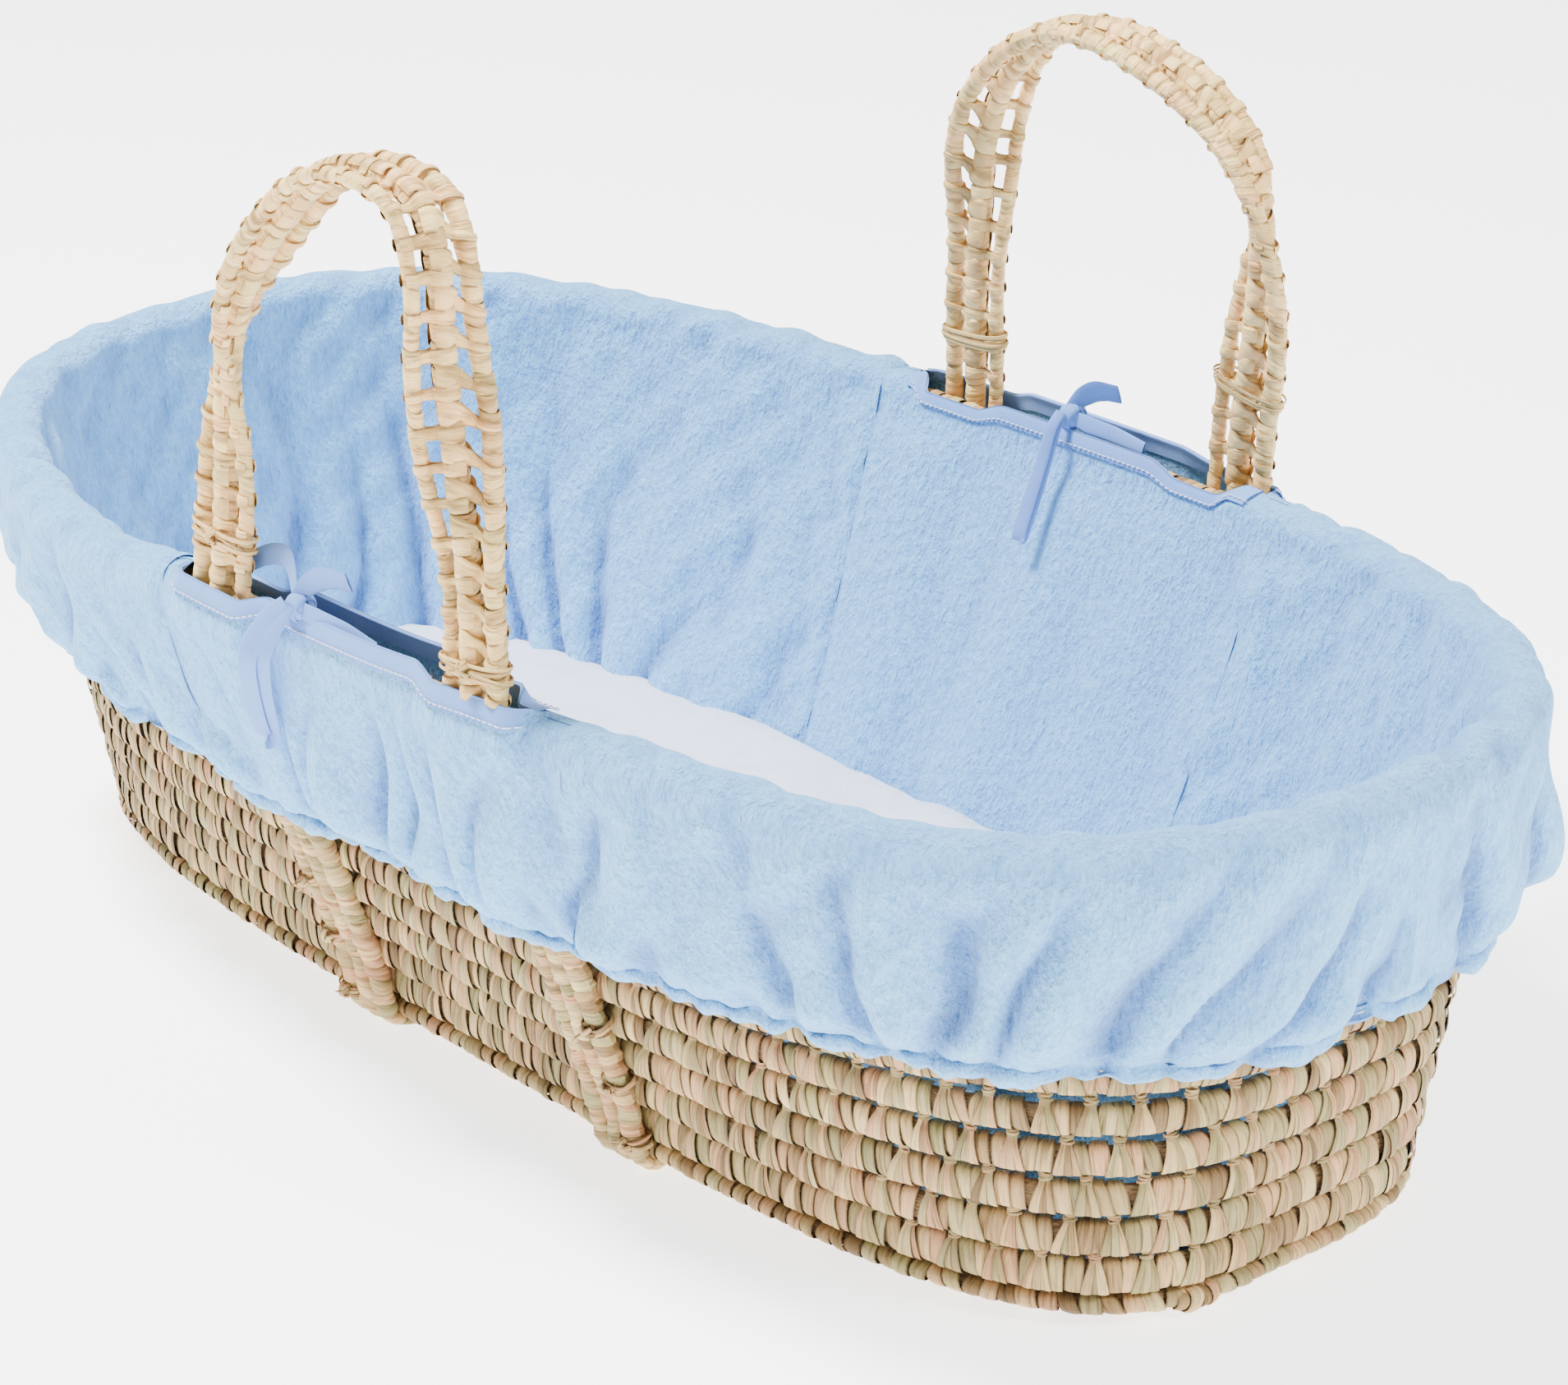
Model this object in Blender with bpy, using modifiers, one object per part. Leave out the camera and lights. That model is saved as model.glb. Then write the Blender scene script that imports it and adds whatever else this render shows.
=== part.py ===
"""A moses basket: a coiled palm-leaf body, two strap handles, a cloth liner and a mattress.

Metres, +Z up. The origin is on the floor under the middle of the basket, +X runs along its length
to the foot end, and -Y is the near long side. Every wall piece is placed by three values: its turn
round the oval (0 at +X, 0.25 at +Y), its level up the flared wall (0 at the first row, 1 at the rim
coil) and its distance out from the rows' centreline.
"""
import math

import bmesh
import bpy
import numpy as np
from mathutils import Vector

COLLECTION_NAME = "moses_basket"
CLEARANCE = 0.0003

# The oval wall.
BASE_HALF_LENGTH = 0.386
BASE_HALF_WIDTH = 0.152
BASE_SQUARENESS = 3.6
RIM_HALF_LENGTH = 0.420
RIM_HALF_WIDTH = 0.2185
RIM_SQUARENESS = 2.6
CREST_HEIGHT = 0.229
CREST_TILT = 0.018
CREST_SADDLE = 0.06
ROUND_SEGMENTS = 32
OVAL_SAMPLES = 1440

# Coiled rows.
ROW_HEIGHT = 0.0182
ROW_THICKNESS = 0.009
WALL_ROWS = 10
RIM_COIL_HEIGHT = 0.0186
RIM_COIL_THICKNESS = 0.012
FIRST_ROW_HEIGHT = 0.025
CREST_ABOVE_RIM_COIL = 0.0155
BASE_ROW_WIDTH = 0.0182
BASE_ROW_PITCH = 0.0195
BASE_ROW_LOW = 0.0055
BASE_ROW_THICKNESS = 0.009
BASE_ROWS = 7

# Straps: the lower stretches of the handles, laid down the wall and under the base.
LEG_X = (-0.065, 0.119)
STRAP_WIDTH = 0.036
STRAP_THICKNESS = 0.0062
STRAP_GAP = 0.001
UNDER_STRAP_THICKNESS = 0.0052

# Handles.
PIVOT_Y = 0.2298
PIVOT_Z = 0.2325
HANDLE_LEANS = {"near": math.radians(-3.0), "far": math.radians(-1.2)}
LEG_END = 0.004
ROOT_HALF_SPAN = 0.092
# Each arch, head root to foot root: distance along the basket from its middle, and height over the hinge.
ARCHES = {
    "near": (
        (-ROOT_HALF_SPAN, -LEG_END), (-0.0875, 0.045), (-0.0865, 0.090), (-0.084, 0.122), (-0.072, 0.153),
        (-0.045, 0.188), (-0.012, 0.216), (0.022, 0.224), (0.051, 0.218), (0.064, 0.194), (0.069, 0.158),
        (0.0785, 0.115), (0.088, 0.070), (0.092, 0.030), (ROOT_HALF_SPAN, -LEG_END),
    ),
    "far": (
        (-ROOT_HALF_SPAN, -LEG_END), (-0.0935, 0.040), (-0.0925, 0.081), (-0.091, 0.118), (-0.083, 0.146),
        (-0.067, 0.170), (-0.040, 0.188), (-0.005, 0.192), (0.038, 0.182), (0.070, 0.165), (0.088, 0.146),
        (0.097, 0.122), (0.0985, 0.093), (0.0965, 0.060), (0.093, 0.028), (ROOT_HALF_SPAN, -LEG_END),
    ),
}
STRAND_POINTS = 27
STRAND_SIDES = 6
STRANDS = {"thick": 0.0102, "middle": 0.0106, "thin": 0.0072}
WINDOW_WIDTH = 0.0044
LACING_THICKNESS = 0.002
LASHING_CLEARANCE = 0.0006
LASHING_THICKNESS = 0.0016
LASHING_HEIGHT = 0.006
TWIST_START = 0.055
TWIST_END = 0.19

# Cloth liner.
CLOTH = 0.003
INNER_CLOTH_OUT = -0.0078
SKIRT_OUT = 0.0157
HEM_LEVEL = 0.537
SEAM_X = (-0.110, 0.165)
SEAM_GAP = 0.0003
BINDING_WIDTH = 0.004
BINDING_HEIGHT = 0.002
BINDING_STANDOFF = 0.0009
TAPE_WIDTH = 0.012
TAPE_THICKNESS = 0.003
KNOT_HEIGHT = 0.0235
LOOP_SHIFT = 0.012
BOW_X = {"near": -0.002, "far": 0.020}

# Mattress.
MATTRESS_LOW = 0.0175
MATTRESS_HIGH = 0.0465
MATTRESS_HALF_LENGTH = 0.3685
MATTRESS_HALF_WIDTH = 0.1355
MATTRESS_FLARE = 0.006
MATTRESS_SQUARENESS = 3.3
MATTRESS_EDGE = 0.006
COVER = 0.001
COVER_TURN_UNDER = 0.040

SIDES = {"near": -1.0, "far": 1.0}


def clear_scene():
    for obj in list(bpy.data.objects):
        bpy.data.objects.remove(obj, do_unlink=True)


def make_material(name, color, roughness):
    material = bpy.data.materials.new(name)
    material.use_nodes = True
    shader = material.node_tree.nodes["Principled BSDF"]
    shader.inputs["Base Color"].default_value = (*color, 1.0)
    shader.inputs["Roughness"].default_value = roughness
    shader.inputs["Metallic"].default_value = 0.0
    return material


# ---- the wall's geometry -------------------------------------------------------------------


def oval_angles():
    return np.linspace(0.0, 2.0 * math.pi, OVAL_SAMPLES + 1)


def oval_outline(half_length, half_width, squareness, angle):
    cosine, sine = np.cos(angle), np.sin(angle)
    power = 2.0 / squareness
    x = half_length * np.sign(cosine) * np.abs(cosine) ** power
    y = half_width * np.sign(sine) * np.abs(sine) ** power
    return x, y


def running_length(x, y):
    return np.concatenate([[0.0], np.cumsum(np.hypot(np.diff(x), np.diff(y)))])


def oval_points(half_length, half_width, squareness, turns):
    """Points of a superellipse at the given fractions of its own length."""
    x, y = oval_outline(half_length, half_width, squareness, oval_angles())
    run = running_length(x, y)
    at = np.mod(turns, 1.0) * run[-1]
    return np.stack([np.interp(at, run, x), np.interp(at, run, y)], axis=-1)


def node_turns():
    """Turns of the wall's corner lines, closest together where the oval bends most."""
    x, y = oval_outline(RIM_HALF_LENGTH, RIM_HALF_WIDTH, RIM_SQUARENESS, oval_angles())
    run = running_length(x, y)
    step = OVAL_SAMPLES // ROUND_SEGMENTS
    return (run / run[-1])[:-1:step]


NODE_TURNS = node_turns()
FOOT_PLAN = oval_points(
    BASE_HALF_LENGTH - ROW_THICKNESS / 2, BASE_HALF_WIDTH - ROW_THICKNESS / 2, BASE_SQUARENESS, NODE_TURNS
)
RIM_PLAN = oval_points(RIM_HALF_LENGTH, RIM_HALF_WIDTH, RIM_SQUARENESS, NODE_TURNS)


def rim_coil_height(x):
    return CREST_HEIGHT + CREST_TILT * x + CREST_SADDLE * x * x - CREST_ABOVE_RIM_COIL


def wall_nodes(level, out):
    """The wall's corner points at one level, moved outward by out."""
    plan = FOOT_PLAN + (RIM_PLAN - FOOT_PLAN) * level
    along = np.roll(plan, -1, axis=0) - np.roll(plan, 1, axis=0)
    normal = np.stack([along[:, 1], -along[:, 0]], axis=1)
    normal /= np.linalg.norm(normal, axis=1, keepdims=True)
    height = FIRST_ROW_HEIGHT + level * (rim_coil_height(plan[:, 0]) - FIRST_ROW_HEIGHT)
    return np.column_stack([plan + normal * out, height])


def wall_point(turn, level, out=0.0, up=0.0):
    nodes = wall_nodes(level, out)
    place = np.interp(turn % 1.0, np.append(NODE_TURNS, 1.0), np.arange(ROUND_SEGMENTS + 1))
    index = int(place) % ROUND_SEGMENTS
    share = place - int(place)
    point = nodes[index] * (1 - share) + nodes[(index + 1) % ROUND_SEGMENTS] * share
    return Vector(point) + Vector((0, 0, up))


def turn_at(x, side, level=1.0):
    """The turn at which the wall passes this x on the near (-1) or far (+1) side."""
    half = ROUND_SEGMENTS // 2 + 1
    turn = float(np.interp(-x, -wall_nodes(level, 0.0)[:half, 0], NODE_TURNS[:half]))
    return turn if side > 0 else 1.0 - turn


def perimeter(level):
    nodes = wall_nodes(level, 0.0)
    return float(np.linalg.norm(nodes - np.roll(nodes, 1, axis=0), axis=1).sum())


# ---- making objects ------------------------------------------------------------------------


def add_object(name, bm, material, parent=None):
    bmesh.ops.recalc_face_normals(bm, faces=bm.faces)
    mesh = bpy.data.meshes.new(name)
    bm.to_mesh(mesh)
    bm.free()
    mesh.materials.append(material)
    mesh.shade_smooth()
    mesh.set_sharp_from_angle(angle=math.radians(50))
    obj = bpy.data.objects.new(name, mesh)
    bpy.data.collections[COLLECTION_NAME].objects.link(obj)
    obj.parent = parent
    return obj


def loft(name, sections, material, closed_path=False, parent=None):
    """One closed solid through closed sections, ended by caps or joined back to its start."""
    bm = bmesh.new()
    rings = [[bm.verts.new(point) for point in section] for section in sections]
    count = len(rings[0])
    pairs = list(zip(rings, rings[1:]))
    if closed_path:
        pairs.append((rings[-1], rings[0]))
    for one, two in pairs:
        for i in range(count):
            j = (i + 1) % count
            bm.faces.new((one[i], one[j], two[j], two[i]))
    if not closed_path:
        bm.faces.new(rings[0])
        bm.faces.new(rings[-1])
    return add_object(name, bm, material, parent)


def cloth_shell(name, grid, material):
    """An open sheet through a grid of points, thickened evenly to both sides."""
    bm = bmesh.new()
    rows = [[bm.verts.new(point) for point in row] for row in grid]
    for one, two in zip(rows, rows[1:]):
        for i in range(len(one) - 1):
            bm.faces.new((one[i], one[i + 1], two[i + 1], two[i]))
    obj = add_object(name, bm, material)
    solidify = obj.modifiers.new("thickness", "SOLIDIFY")
    solidify.thickness = CLOTH
    solidify.offset = 0.0
    solidify.use_even_offset = True
    return obj


def flat_section(centre, across, through, width, thickness, corner=0.25):
    """An eight-sided flat section with its corners taken off."""
    half_width, half_thickness = width / 2, thickness / 2
    cut = corner * thickness
    corners = (
        (half_width, -half_thickness + cut), (half_width, half_thickness - cut),
        (half_width - cut, half_thickness), (-half_width + cut, half_thickness),
        (-half_width, half_thickness - cut), (-half_width, -half_thickness + cut),
        (-half_width + cut, -half_thickness), (half_width - cut, -half_thickness),
    )
    return [centre + across * a + through * t for a, t in corners]


def plain_section(centre, across, through, width, thickness):
    """A four-cornered flat section, for thin strips."""
    corners = ((1, -1), (1, 1), (-1, 1), (-1, -1))
    return [centre + across * a * width / 2 + through * t * thickness / 2 for a, t in corners]


# ---- the woven body ------------------------------------------------------------------------


def row_section(turn, level, height, thickness):
    """A six-sided bundle section: flat faces in and out, a ridge above and below."""
    half_height, half_thickness = height / 2, thickness / 2
    per_level = rim_coil_height(wall_point(turn, level).x) - FIRST_ROW_HEIGHT
    return [
        wall_point(turn, level + rise * half_height / per_level, side * half_thickness)
        for side, rise in ((1, -0.6), (1, 0.6), (0, 1), (-1, 0.6), (-1, -0.6), (0, -1))
    ]


def make_wall_rows(material):
    for index in range(WALL_ROWS):
        level = index / WALL_ROWS
        sections = [row_section(t, level, ROW_HEIGHT, ROW_THICKNESS) for t in NODE_TURNS]
        loft(f"wall_row_{index + 1:02d}", sections, material, closed_path=True)


def make_rim_coil(material):
    sections = [row_section(t, 1.0, RIM_COIL_HEIGHT, RIM_COIL_THICKNESS) for t in NODE_TURNS]
    loft("rim_coil", sections, material, closed_path=True)


def base_oval(inset, height):
    plan = oval_points(
        BASE_HALF_LENGTH - inset, BASE_HALF_WIDTH - inset, BASE_SQUARENESS, NODE_TURNS
    )
    return [Vector((x, y, height)) for x, y in plan]


def make_base_rows(material):
    low, high = BASE_ROW_LOW, BASE_ROW_LOW + BASE_ROW_THICKNESS
    middle, bevel = (low + high) / 2, 0.3 * BASE_ROW_THICKNESS
    for index in range(BASE_ROWS):
        outer = 0.0005 + index * BASE_ROW_PITCH
        inner = outer + BASE_ROW_WIDTH
        rims = (
            base_oval(outer, middle), base_oval(outer + bevel, high), base_oval(inner - bevel, high),
            base_oval(inner, middle), base_oval(inner - bevel, low), base_oval(outer + bevel, low),
        )
        sections = [list(points) for points in zip(*rims)]
        loft(f"base_row_{index + 1}", sections, material, closed_path=True)
    make_base_centre(material, 0.0005 + BASE_ROWS * BASE_ROW_PITCH, low, high)


def make_base_centre(material, inset, low, high):
    """The start of the coil, along the middle of the base."""
    bevel = 0.3 * BASE_ROW_THICKNESS
    loops = [
        base_oval(inset + bevel, low), base_oval(inset, low + bevel),
        base_oval(inset, high - bevel), base_oval(inset + bevel, high),
    ]
    loft("base_centre", loops, material)


# ---- straps down the wall and under the base -----------------------------------------------


def strap_section(x, side, level, out, height=None, share=1.0):
    """The strap's section, wrapped on the wall: flat inside and out, corners taken off."""
    turn = turn_at(x, side, level)
    half_width, half = STRAP_WIDTH * share / 2, STRAP_THICKNESS / 2
    cut = 0.5 * half
    corners = (
        (half_width, cut - half), (half_width, half - cut), (half_width - cut, half),
        (cut - half_width, half), (-half_width, half - cut), (-half_width, cut - half),
        (cut - half_width, -half), (half_width - cut, -half),
    )
    points = [wall_point(turn + a / perimeter(level), level, out + t) for a, t in corners]
    if height is not None:
        for point in points:
            point.z = height
    return points


def make_wall_strap(name, x, side, material):
    on_rows = (ROW_THICKNESS + STRAP_THICKNESS) / 2 + STRAP_GAP
    on_rim = (RIM_COIL_THICKNESS + STRAP_THICKNESS) / 2 + STRAP_GAP
    sections = [strap_section(x, side, 0.0, on_rows, height=0.0)]
    for level in (0.0, 0.25, 0.5, 0.75):
        sections.append(strap_section(x, side, level, on_rows))
    sections.append(strap_section(x, side, 0.9, on_rim))
    sections.append(strap_section(x, side, 1.0, on_rim, share=0.94))
    loft(name, sections, material)


def make_under_strap(name, x, reach, material):
    across, through = Vector((1, 0, 0)), Vector((0, 0, 1))
    sections = []
    for share in (-1.0, -0.5, 0.0, 0.5, 1.0):
        centre = Vector((x, share * reach, UNDER_STRAP_THICKNESS / 2))
        sections.append(
            flat_section(centre, across, through, STRAP_WIDTH, UNDER_STRAP_THICKNESS)
        )
    loft(name, sections, material)


def make_straps(material):
    for end, x in zip(("head", "foot"), LEG_X):
        for side_name, side in SIDES.items():
            make_wall_strap(f"{side_name}_strap_{end}", x, side, material)
        foot = strap_section(x, 1.0, 0.0, (ROW_THICKNESS + STRAP_THICKNESS) / 2 + STRAP_GAP)
        reach = min(point.y for point in foot)
        make_under_strap(f"under_strap_{end}", x, reach - 2 * CLEARANCE, material)


# ---- handles -------------------------------------------------------------------------------


def arch_centreline(side_name):
    """The arch in its own upright plane: a smooth curve through its points, in even steps."""
    points = np.array(ARCHES[side_name])
    ends = np.vstack([2 * points[0] - points[1], points, 2 * points[-1] - points[-2]])
    curve = []
    for a, b, c, d in zip(ends, ends[1:], ends[2:], ends[3:]):
        for t in np.linspace(0, 1, 12, endpoint=False):
            rise = 3 * b - a - 3 * c + d
            curve.append((2 * b + (c - a) * t + (2 * a - 5 * b + 4 * c - d) * t ** 2 + rise * t ** 3) / 2)
    x, z = np.vstack([curve, points[-1]]).T
    run = running_length(x, z)
    at = np.linspace(0, run[-1], STRAND_POINTS)
    return np.interp(at, run, x), np.interp(at, run, z)


def band_frames(side_name):
    """Centre, lateral and facing directions of the flat band. It lies against the wall at its
    roots and turns a quarter turn on the way up, so that it faces up over the top."""
    x, z = arch_centreline(side_name)
    frames = []
    for i in range(STRAND_POINTS):
        low, high = max(i - 1, 0), min(i + 1, STRAND_POINTS - 1)
        tangent = Vector((x[high] - x[low], 0, z[high] - z[low])).normalized()
        arch_out = Vector((-tangent.z, 0, tangent.x))
        rise = min(max((z[i] - TWIST_START) / (TWIST_END - TWIST_START), 0), 1)
        angle = math.pi / 2 * rise * rise * (3 - 2 * rise)
        facing = arch_out * math.sin(angle) + Vector((0, 1, 0)) * math.cos(angle)
        lateral = tangent.cross(facing).normalized()
        frames.append([Vector((x[i], 0, z[i])), lateral, facing])
    for frame in frames:
        for vector in frame:
            vector.y *= SIDES[side_name]
    return frames


def strand_offsets():
    """Where each strand and each laced window lies across the band."""
    thick, middle, thin = STRANDS["thick"], STRANDS["middle"], STRANDS["thin"]
    gap = WINDOW_WIDTH + 2 * CLEARANCE
    half = (thick + middle + thin + 2 * gap) / 2
    return {
        "thick": half - thick / 2,
        "wide_lacing": half - thick - gap / 2,
        "middle": half - thick - gap - middle / 2,
        "narrow_lacing": -half + thin + gap / 2,
        "thin": -half + thin / 2,
    }


def round_section(centre, across, through, diameter):
    angles = [2 * math.pi * (k + 0.5) / STRAND_SIDES for k in range(STRAND_SIDES)]
    radius = diameter / 2
    return [centre + (across * math.cos(a) + through * math.sin(a)) * radius for a in angles]


def make_strand(name, frames, offset, diameter, material, pivot):
    sections = []
    for centre, lateral, facing in frames:
        sections.append(round_section(centre + lateral * offset, lateral, facing, diameter))
    loft(name, sections, material, parent=pivot)


def make_lacing(name, frames, offset, material, pivot):
    sections = []
    for centre, lateral, facing in frames[1:-1]:
        at = centre + lateral * offset
        sections.append(plain_section(at, lateral, facing, WINDOW_WIDTH, LACING_THICKNESS))
    loft(name, sections, material, parent=pivot)


def make_lashing(name, frame, next_frame, material, pivot):
    """A raffia binding round all three strands of one leg: an eight-sided band."""
    centre, lateral, facing = frame
    reach = strand_offsets()["thick"] + STRANDS["thick"] / 2 + LASHING_CLEARANCE
    depth = STRANDS["middle"] / 2 + LASHING_CLEARANCE
    rise = (next_frame[0] - centre).normalized() * LASHING_HEIGHT / 2
    round_band = (
        (1, -0.7), (1, 0.7), (0.8, 1), (-0.8, 1), (-1, 0.7), (-1, -0.7), (-0.8, -1), (0.8, -1),
    )
    sections = []
    for a, t in round_band:
        inner = centre + lateral * a * reach + facing * t * depth
        outer = inner + (lateral * a + facing * t) * LASHING_THICKNESS
        sections.append([inner - rise, inner + rise, outer + rise, outer - rise])
    loft(name, sections, material, closed_path=True, parent=pivot)


def make_handle(side_name, material, lashing_material):
    side = SIDES[side_name]
    pivot = bpy.data.objects.new(f"{side_name}_handle_pivot", None)
    bpy.data.collections[COLLECTION_NAME].objects.link(pivot)
    pivot.location = (sum(LEG_X) / 2, side * PIVOT_Y, PIVOT_Z)
    pivot.rotation_euler = (HANDLE_LEANS[side_name], 0, 0)
    frames = band_frames(side_name)
    offsets = strand_offsets()
    for strand, diameter in STRANDS.items():
        name = f"{side_name}_handle_{strand}_strand"
        make_strand(name, frames, offsets[strand], diameter, material, pivot)
    for lacing in ("wide_lacing", "narrow_lacing"):
        make_lacing(f"{side_name}_handle_{lacing}", frames, offsets[lacing], material, pivot)
    head_name, foot_name = f"{side_name}_handle_lashing_head", f"{side_name}_handle_lashing_foot"
    make_lashing(head_name, frames[2], frames[3], lashing_material, pivot)
    make_lashing(foot_name, frames[-3], frames[-4], lashing_material, pivot)


# ---- liner ---------------------------------------------------------------------------------


def inner_profile():
    """From the mattress edge up the inside of the wall: level, out, up."""
    return [
        (-0.036, INNER_CLOTH_OUT, 0), (0.25, INNER_CLOTH_OUT, 0), (0.5, INNER_CLOTH_OUT, 0),
        (0.75, INNER_CLOTH_OUT, 0), (1.0, INNER_CLOTH_OUT - 0.0014, 0.0),
    ]


def skirt_profile():
    """From the rim's outer shoulder down the outside of the wall to the hem."""
    return [(1.0, SKIRT_OUT, 0.0), (0.85, SKIRT_OUT, 0), (0.7, SKIRT_OUT, 0), (HEM_LEVEL, SKIRT_OUT, 0)]


def over_rim_profile():
    return [(1.0, -0.0070, 0.0110), (1.0, 0.0, 0.0150), (1.0, 0.0095, 0.0120)]


def seam_turns(side):
    """Turns of a side's head seam and foot seam."""
    return turn_at(SEAM_X[0], side), turn_at(SEAM_X[1], side)


def panel_turns(start, end):
    """Turns across a panel: its two seams, and every corner line of the wall between them."""
    nodes = np.concatenate([NODE_TURNS - 1.0, NODE_TURNS])
    return [start, *nodes[(nodes > start + 0.001) & (nodes < end - 0.001)], end]


def end_panel_turns(end):
    """Turns across the head or foot panel, round that end of the oval."""
    far_head, far_foot = seam_turns(1.0)
    if end == "head":
        return panel_turns(far_head + SEAM_GAP, 1.0 - far_head - SEAM_GAP)
    return panel_turns(SEAM_GAP - far_foot, far_foot - SEAM_GAP)


def make_end_panel(end, material):
    profile = inner_profile() + over_rim_profile() + skirt_profile()
    grid = [
        [wall_point(turn, level, out, up) for level, out, up in profile]
        for turn in end_panel_turns(end)
    ]
    cloth_shell(f"liner_{end}_panel", grid, material)


def side_turns(side):
    """Turns across a side panel, closely spaced to follow the scooped edge."""
    head, foot = seam_turns(side)
    gap = SEAM_GAP * side
    return np.linspace(foot + gap, head - gap, 23)


def scoop(x):
    """1 right under a handle leg, easing to 0 between and beyond the legs."""
    near = min(abs(x - leg) for leg in LEG_X)
    ease = min(max((near - 0.020) / 0.020, 0), 1)
    return 1 - ease * ease * (3 - 2 * ease)


def inner_lip():
    return [(1.0, -0.0070, 0.0095), (1.0, -0.0015, 0.0130)]


def outer_lip(x):
    """The skirt's bound edge: on the rim's shoulder, and cut down below each leg."""
    depth = scoop(x)
    return (1.0, 0.0120 + (SKIRT_OUT - 0.0120) * depth, 0.0105 - 0.0065 * depth)


def make_side_panels(side_name, material):
    side = SIDES[side_name]
    inner_grid, outer_grid = [], []
    for turn in side_turns(side):
        x = wall_point(turn, 1.0).x
        inner_grid.append([wall_point(turn, *place) for place in inner_profile() + inner_lip()])
        lip = outer_lip(x)
        below = (1.0, SKIRT_OUT, -0.004)
        outer_grid.append([wall_point(turn, *place) for place in [lip, below, *skirt_profile()[1:]]])
    cloth_shell(f"liner_{side_name}_panel", inner_grid, material)
    cloth_shell(f"skirt_{side_name}_panel", outer_grid, material)


def make_bindings(side_name, material):
    """The bound edges of the slit that the handle legs pass through."""
    side = SIDES[side_name]
    for edge in ("inner", "outer"):
        sections = []
        for turn in side_turns(side)[1:-1]:
            x = wall_point(turn, 1.0).x
            level, out, up = inner_lip()[-1] if edge == "inner" else outer_lip(x)
            rise = up + CLOTH / 2 + BINDING_STANDOFF + BINDING_HEIGHT / 2
            centre = wall_point(turn, level, out, rise)
            step = wall_point(turn + 0.002, 1.0, out) - wall_point(turn - 0.002, 1.0, out)
            across = Vector((step.y, -step.x, 0)).normalized()
            sections.append(
                plain_section(centre, across, Vector((0, 0, 1)), BINDING_WIDTH, BINDING_HEIGHT)
            )
        loft(f"{side_name}_{edge}_binding", sections, material)


def make_hem_elastic(material):
    low, high = HEM_LEVEL + 0.01, HEM_LEVEL + 0.04
    corners = ((low, 0.0126), (high, 0.0126), (high, 0.0136), (low, 0.0136))
    sections = []
    for turn in NODE_TURNS:
        sections.append([wall_point(turn, level, out) for level, out in corners])
    loft("hem_elastic", sections, material, closed_path=True)


def make_liner_floor(material):
    low = BASE_ROW_LOW + BASE_ROW_THICKNESS + CLEARANCE
    high = low + 0.0015
    loft("liner_floor", [base_oval(0.0105, low), base_oval(0.0105, high)], material)


def make_bow(side_name, material):
    """Knot on the slit, one loop hanging from it and one end standing off it."""
    turn = turn_at(BOW_X[side_name], SIDES[side_name])
    up, along, outward = Vector((0, 0, 1)), Vector((1, 0, 0)), Vector((0, SIDES[side_name], 0))
    knot = wall_point(turn, 1.0, RIM_COIL_THICKNESS / 2, KNOT_HEIGHT)
    make_bow_knot(f"{side_name}_bow_knot", knot, along, outward, up, material)
    sections = []
    for level, out, rise, width in bow_loop_line(side_name):
        centre = wall_point(turn, level, out, rise) - along * LOOP_SHIFT
        away = outward if out > 0 else -outward
        through = (away + up).normalized() if rise > 0 else away
        sections.append(flat_section(centre, along, through, width, TAPE_THICKNESS))
    loft(f"{side_name}_bow_loop", sections, material)
    sections = []
    for step, share in ((0.011, 0.5), (0.018, 0.75), (0.030, 0.75)):
        centre = knot + along * step + up * (step - TAPE_WIDTH / 2) * 0.7
        width = share * TAPE_WIDTH
        sections.append(flat_section(centre, outward, (up - along).normalized(), width, 0.002))
    loft(f"{side_name}_bow_tail", sections, material)


def make_bow_knot(name, centre, along, outward, up, material):
    """A short barrel, widest in its middle."""
    sections = []
    for step, share in ((-0.008, 0.6), (-0.004, 1.0), (0.004, 1.0), (0.008, 0.6)):
        width = share * TAPE_WIDTH
        sections.append(flat_section(centre + along * step, outward, up, width, width * 0.8))
    loft(name, sections, material)


def bow_loop_line(side_name):
    """Level, out, up and width of a loop: from the knot over the slit's edge, then down the skirt on
    the near side and down the inside of the wall on the far side."""
    half = TAPE_WIDTH / 2
    if side_name == "near":
        hang = SKIRT_OUT + CLOTH / 2 + TAPE_THICKNESS / 2 + 0.0038
        return (
            (1.0, 0.016, 0.0190, 0.007), (1.0, hang - 0.0005, 0.0120, 0.009),
            (1.0, hang, -0.01, TAPE_WIDTH), (1.0, hang, -0.035, TAPE_WIDTH), (1.0, hang, -0.052, half),
        )
    hang = INNER_CLOTH_OUT - 0.0062
    return (
        (1.0, -0.0045, 0.0225, 0.007), (1.0, -0.0125, 0.0150, 0.009),
        (0.95, hang, 0.0, TAPE_WIDTH), (0.82, hang, 0.0, TAPE_WIDTH), (0.73, hang, 0.0, half),
    )


def make_liner(fleece, binding, elastic):
    for end in ("head", "foot"):
        make_end_panel(end, fleece)
    for side_name in SIDES:
        make_side_panels(side_name, fleece)
        make_bindings(side_name, binding)
        make_bow(side_name, binding)
    make_hem_elastic(elastic)
    make_liner_floor(fleece)


# ---- mattress ------------------------------------------------------------------------------


def mattress_oval(height, grow):
    """A loop of the pad's outline. The pad widens a little upward with the flared wall."""
    flare = MATTRESS_FLARE * (height - MATTRESS_LOW) / (MATTRESS_HIGH - MATTRESS_LOW)
    plan = oval_points(
        MATTRESS_HALF_LENGTH + flare + grow,
        MATTRESS_HALF_WIDTH + flare + grow,
        MATTRESS_SQUARENESS,
        NODE_TURNS,
    )
    return [Vector((x, y, height)) for x, y in plan]


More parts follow.
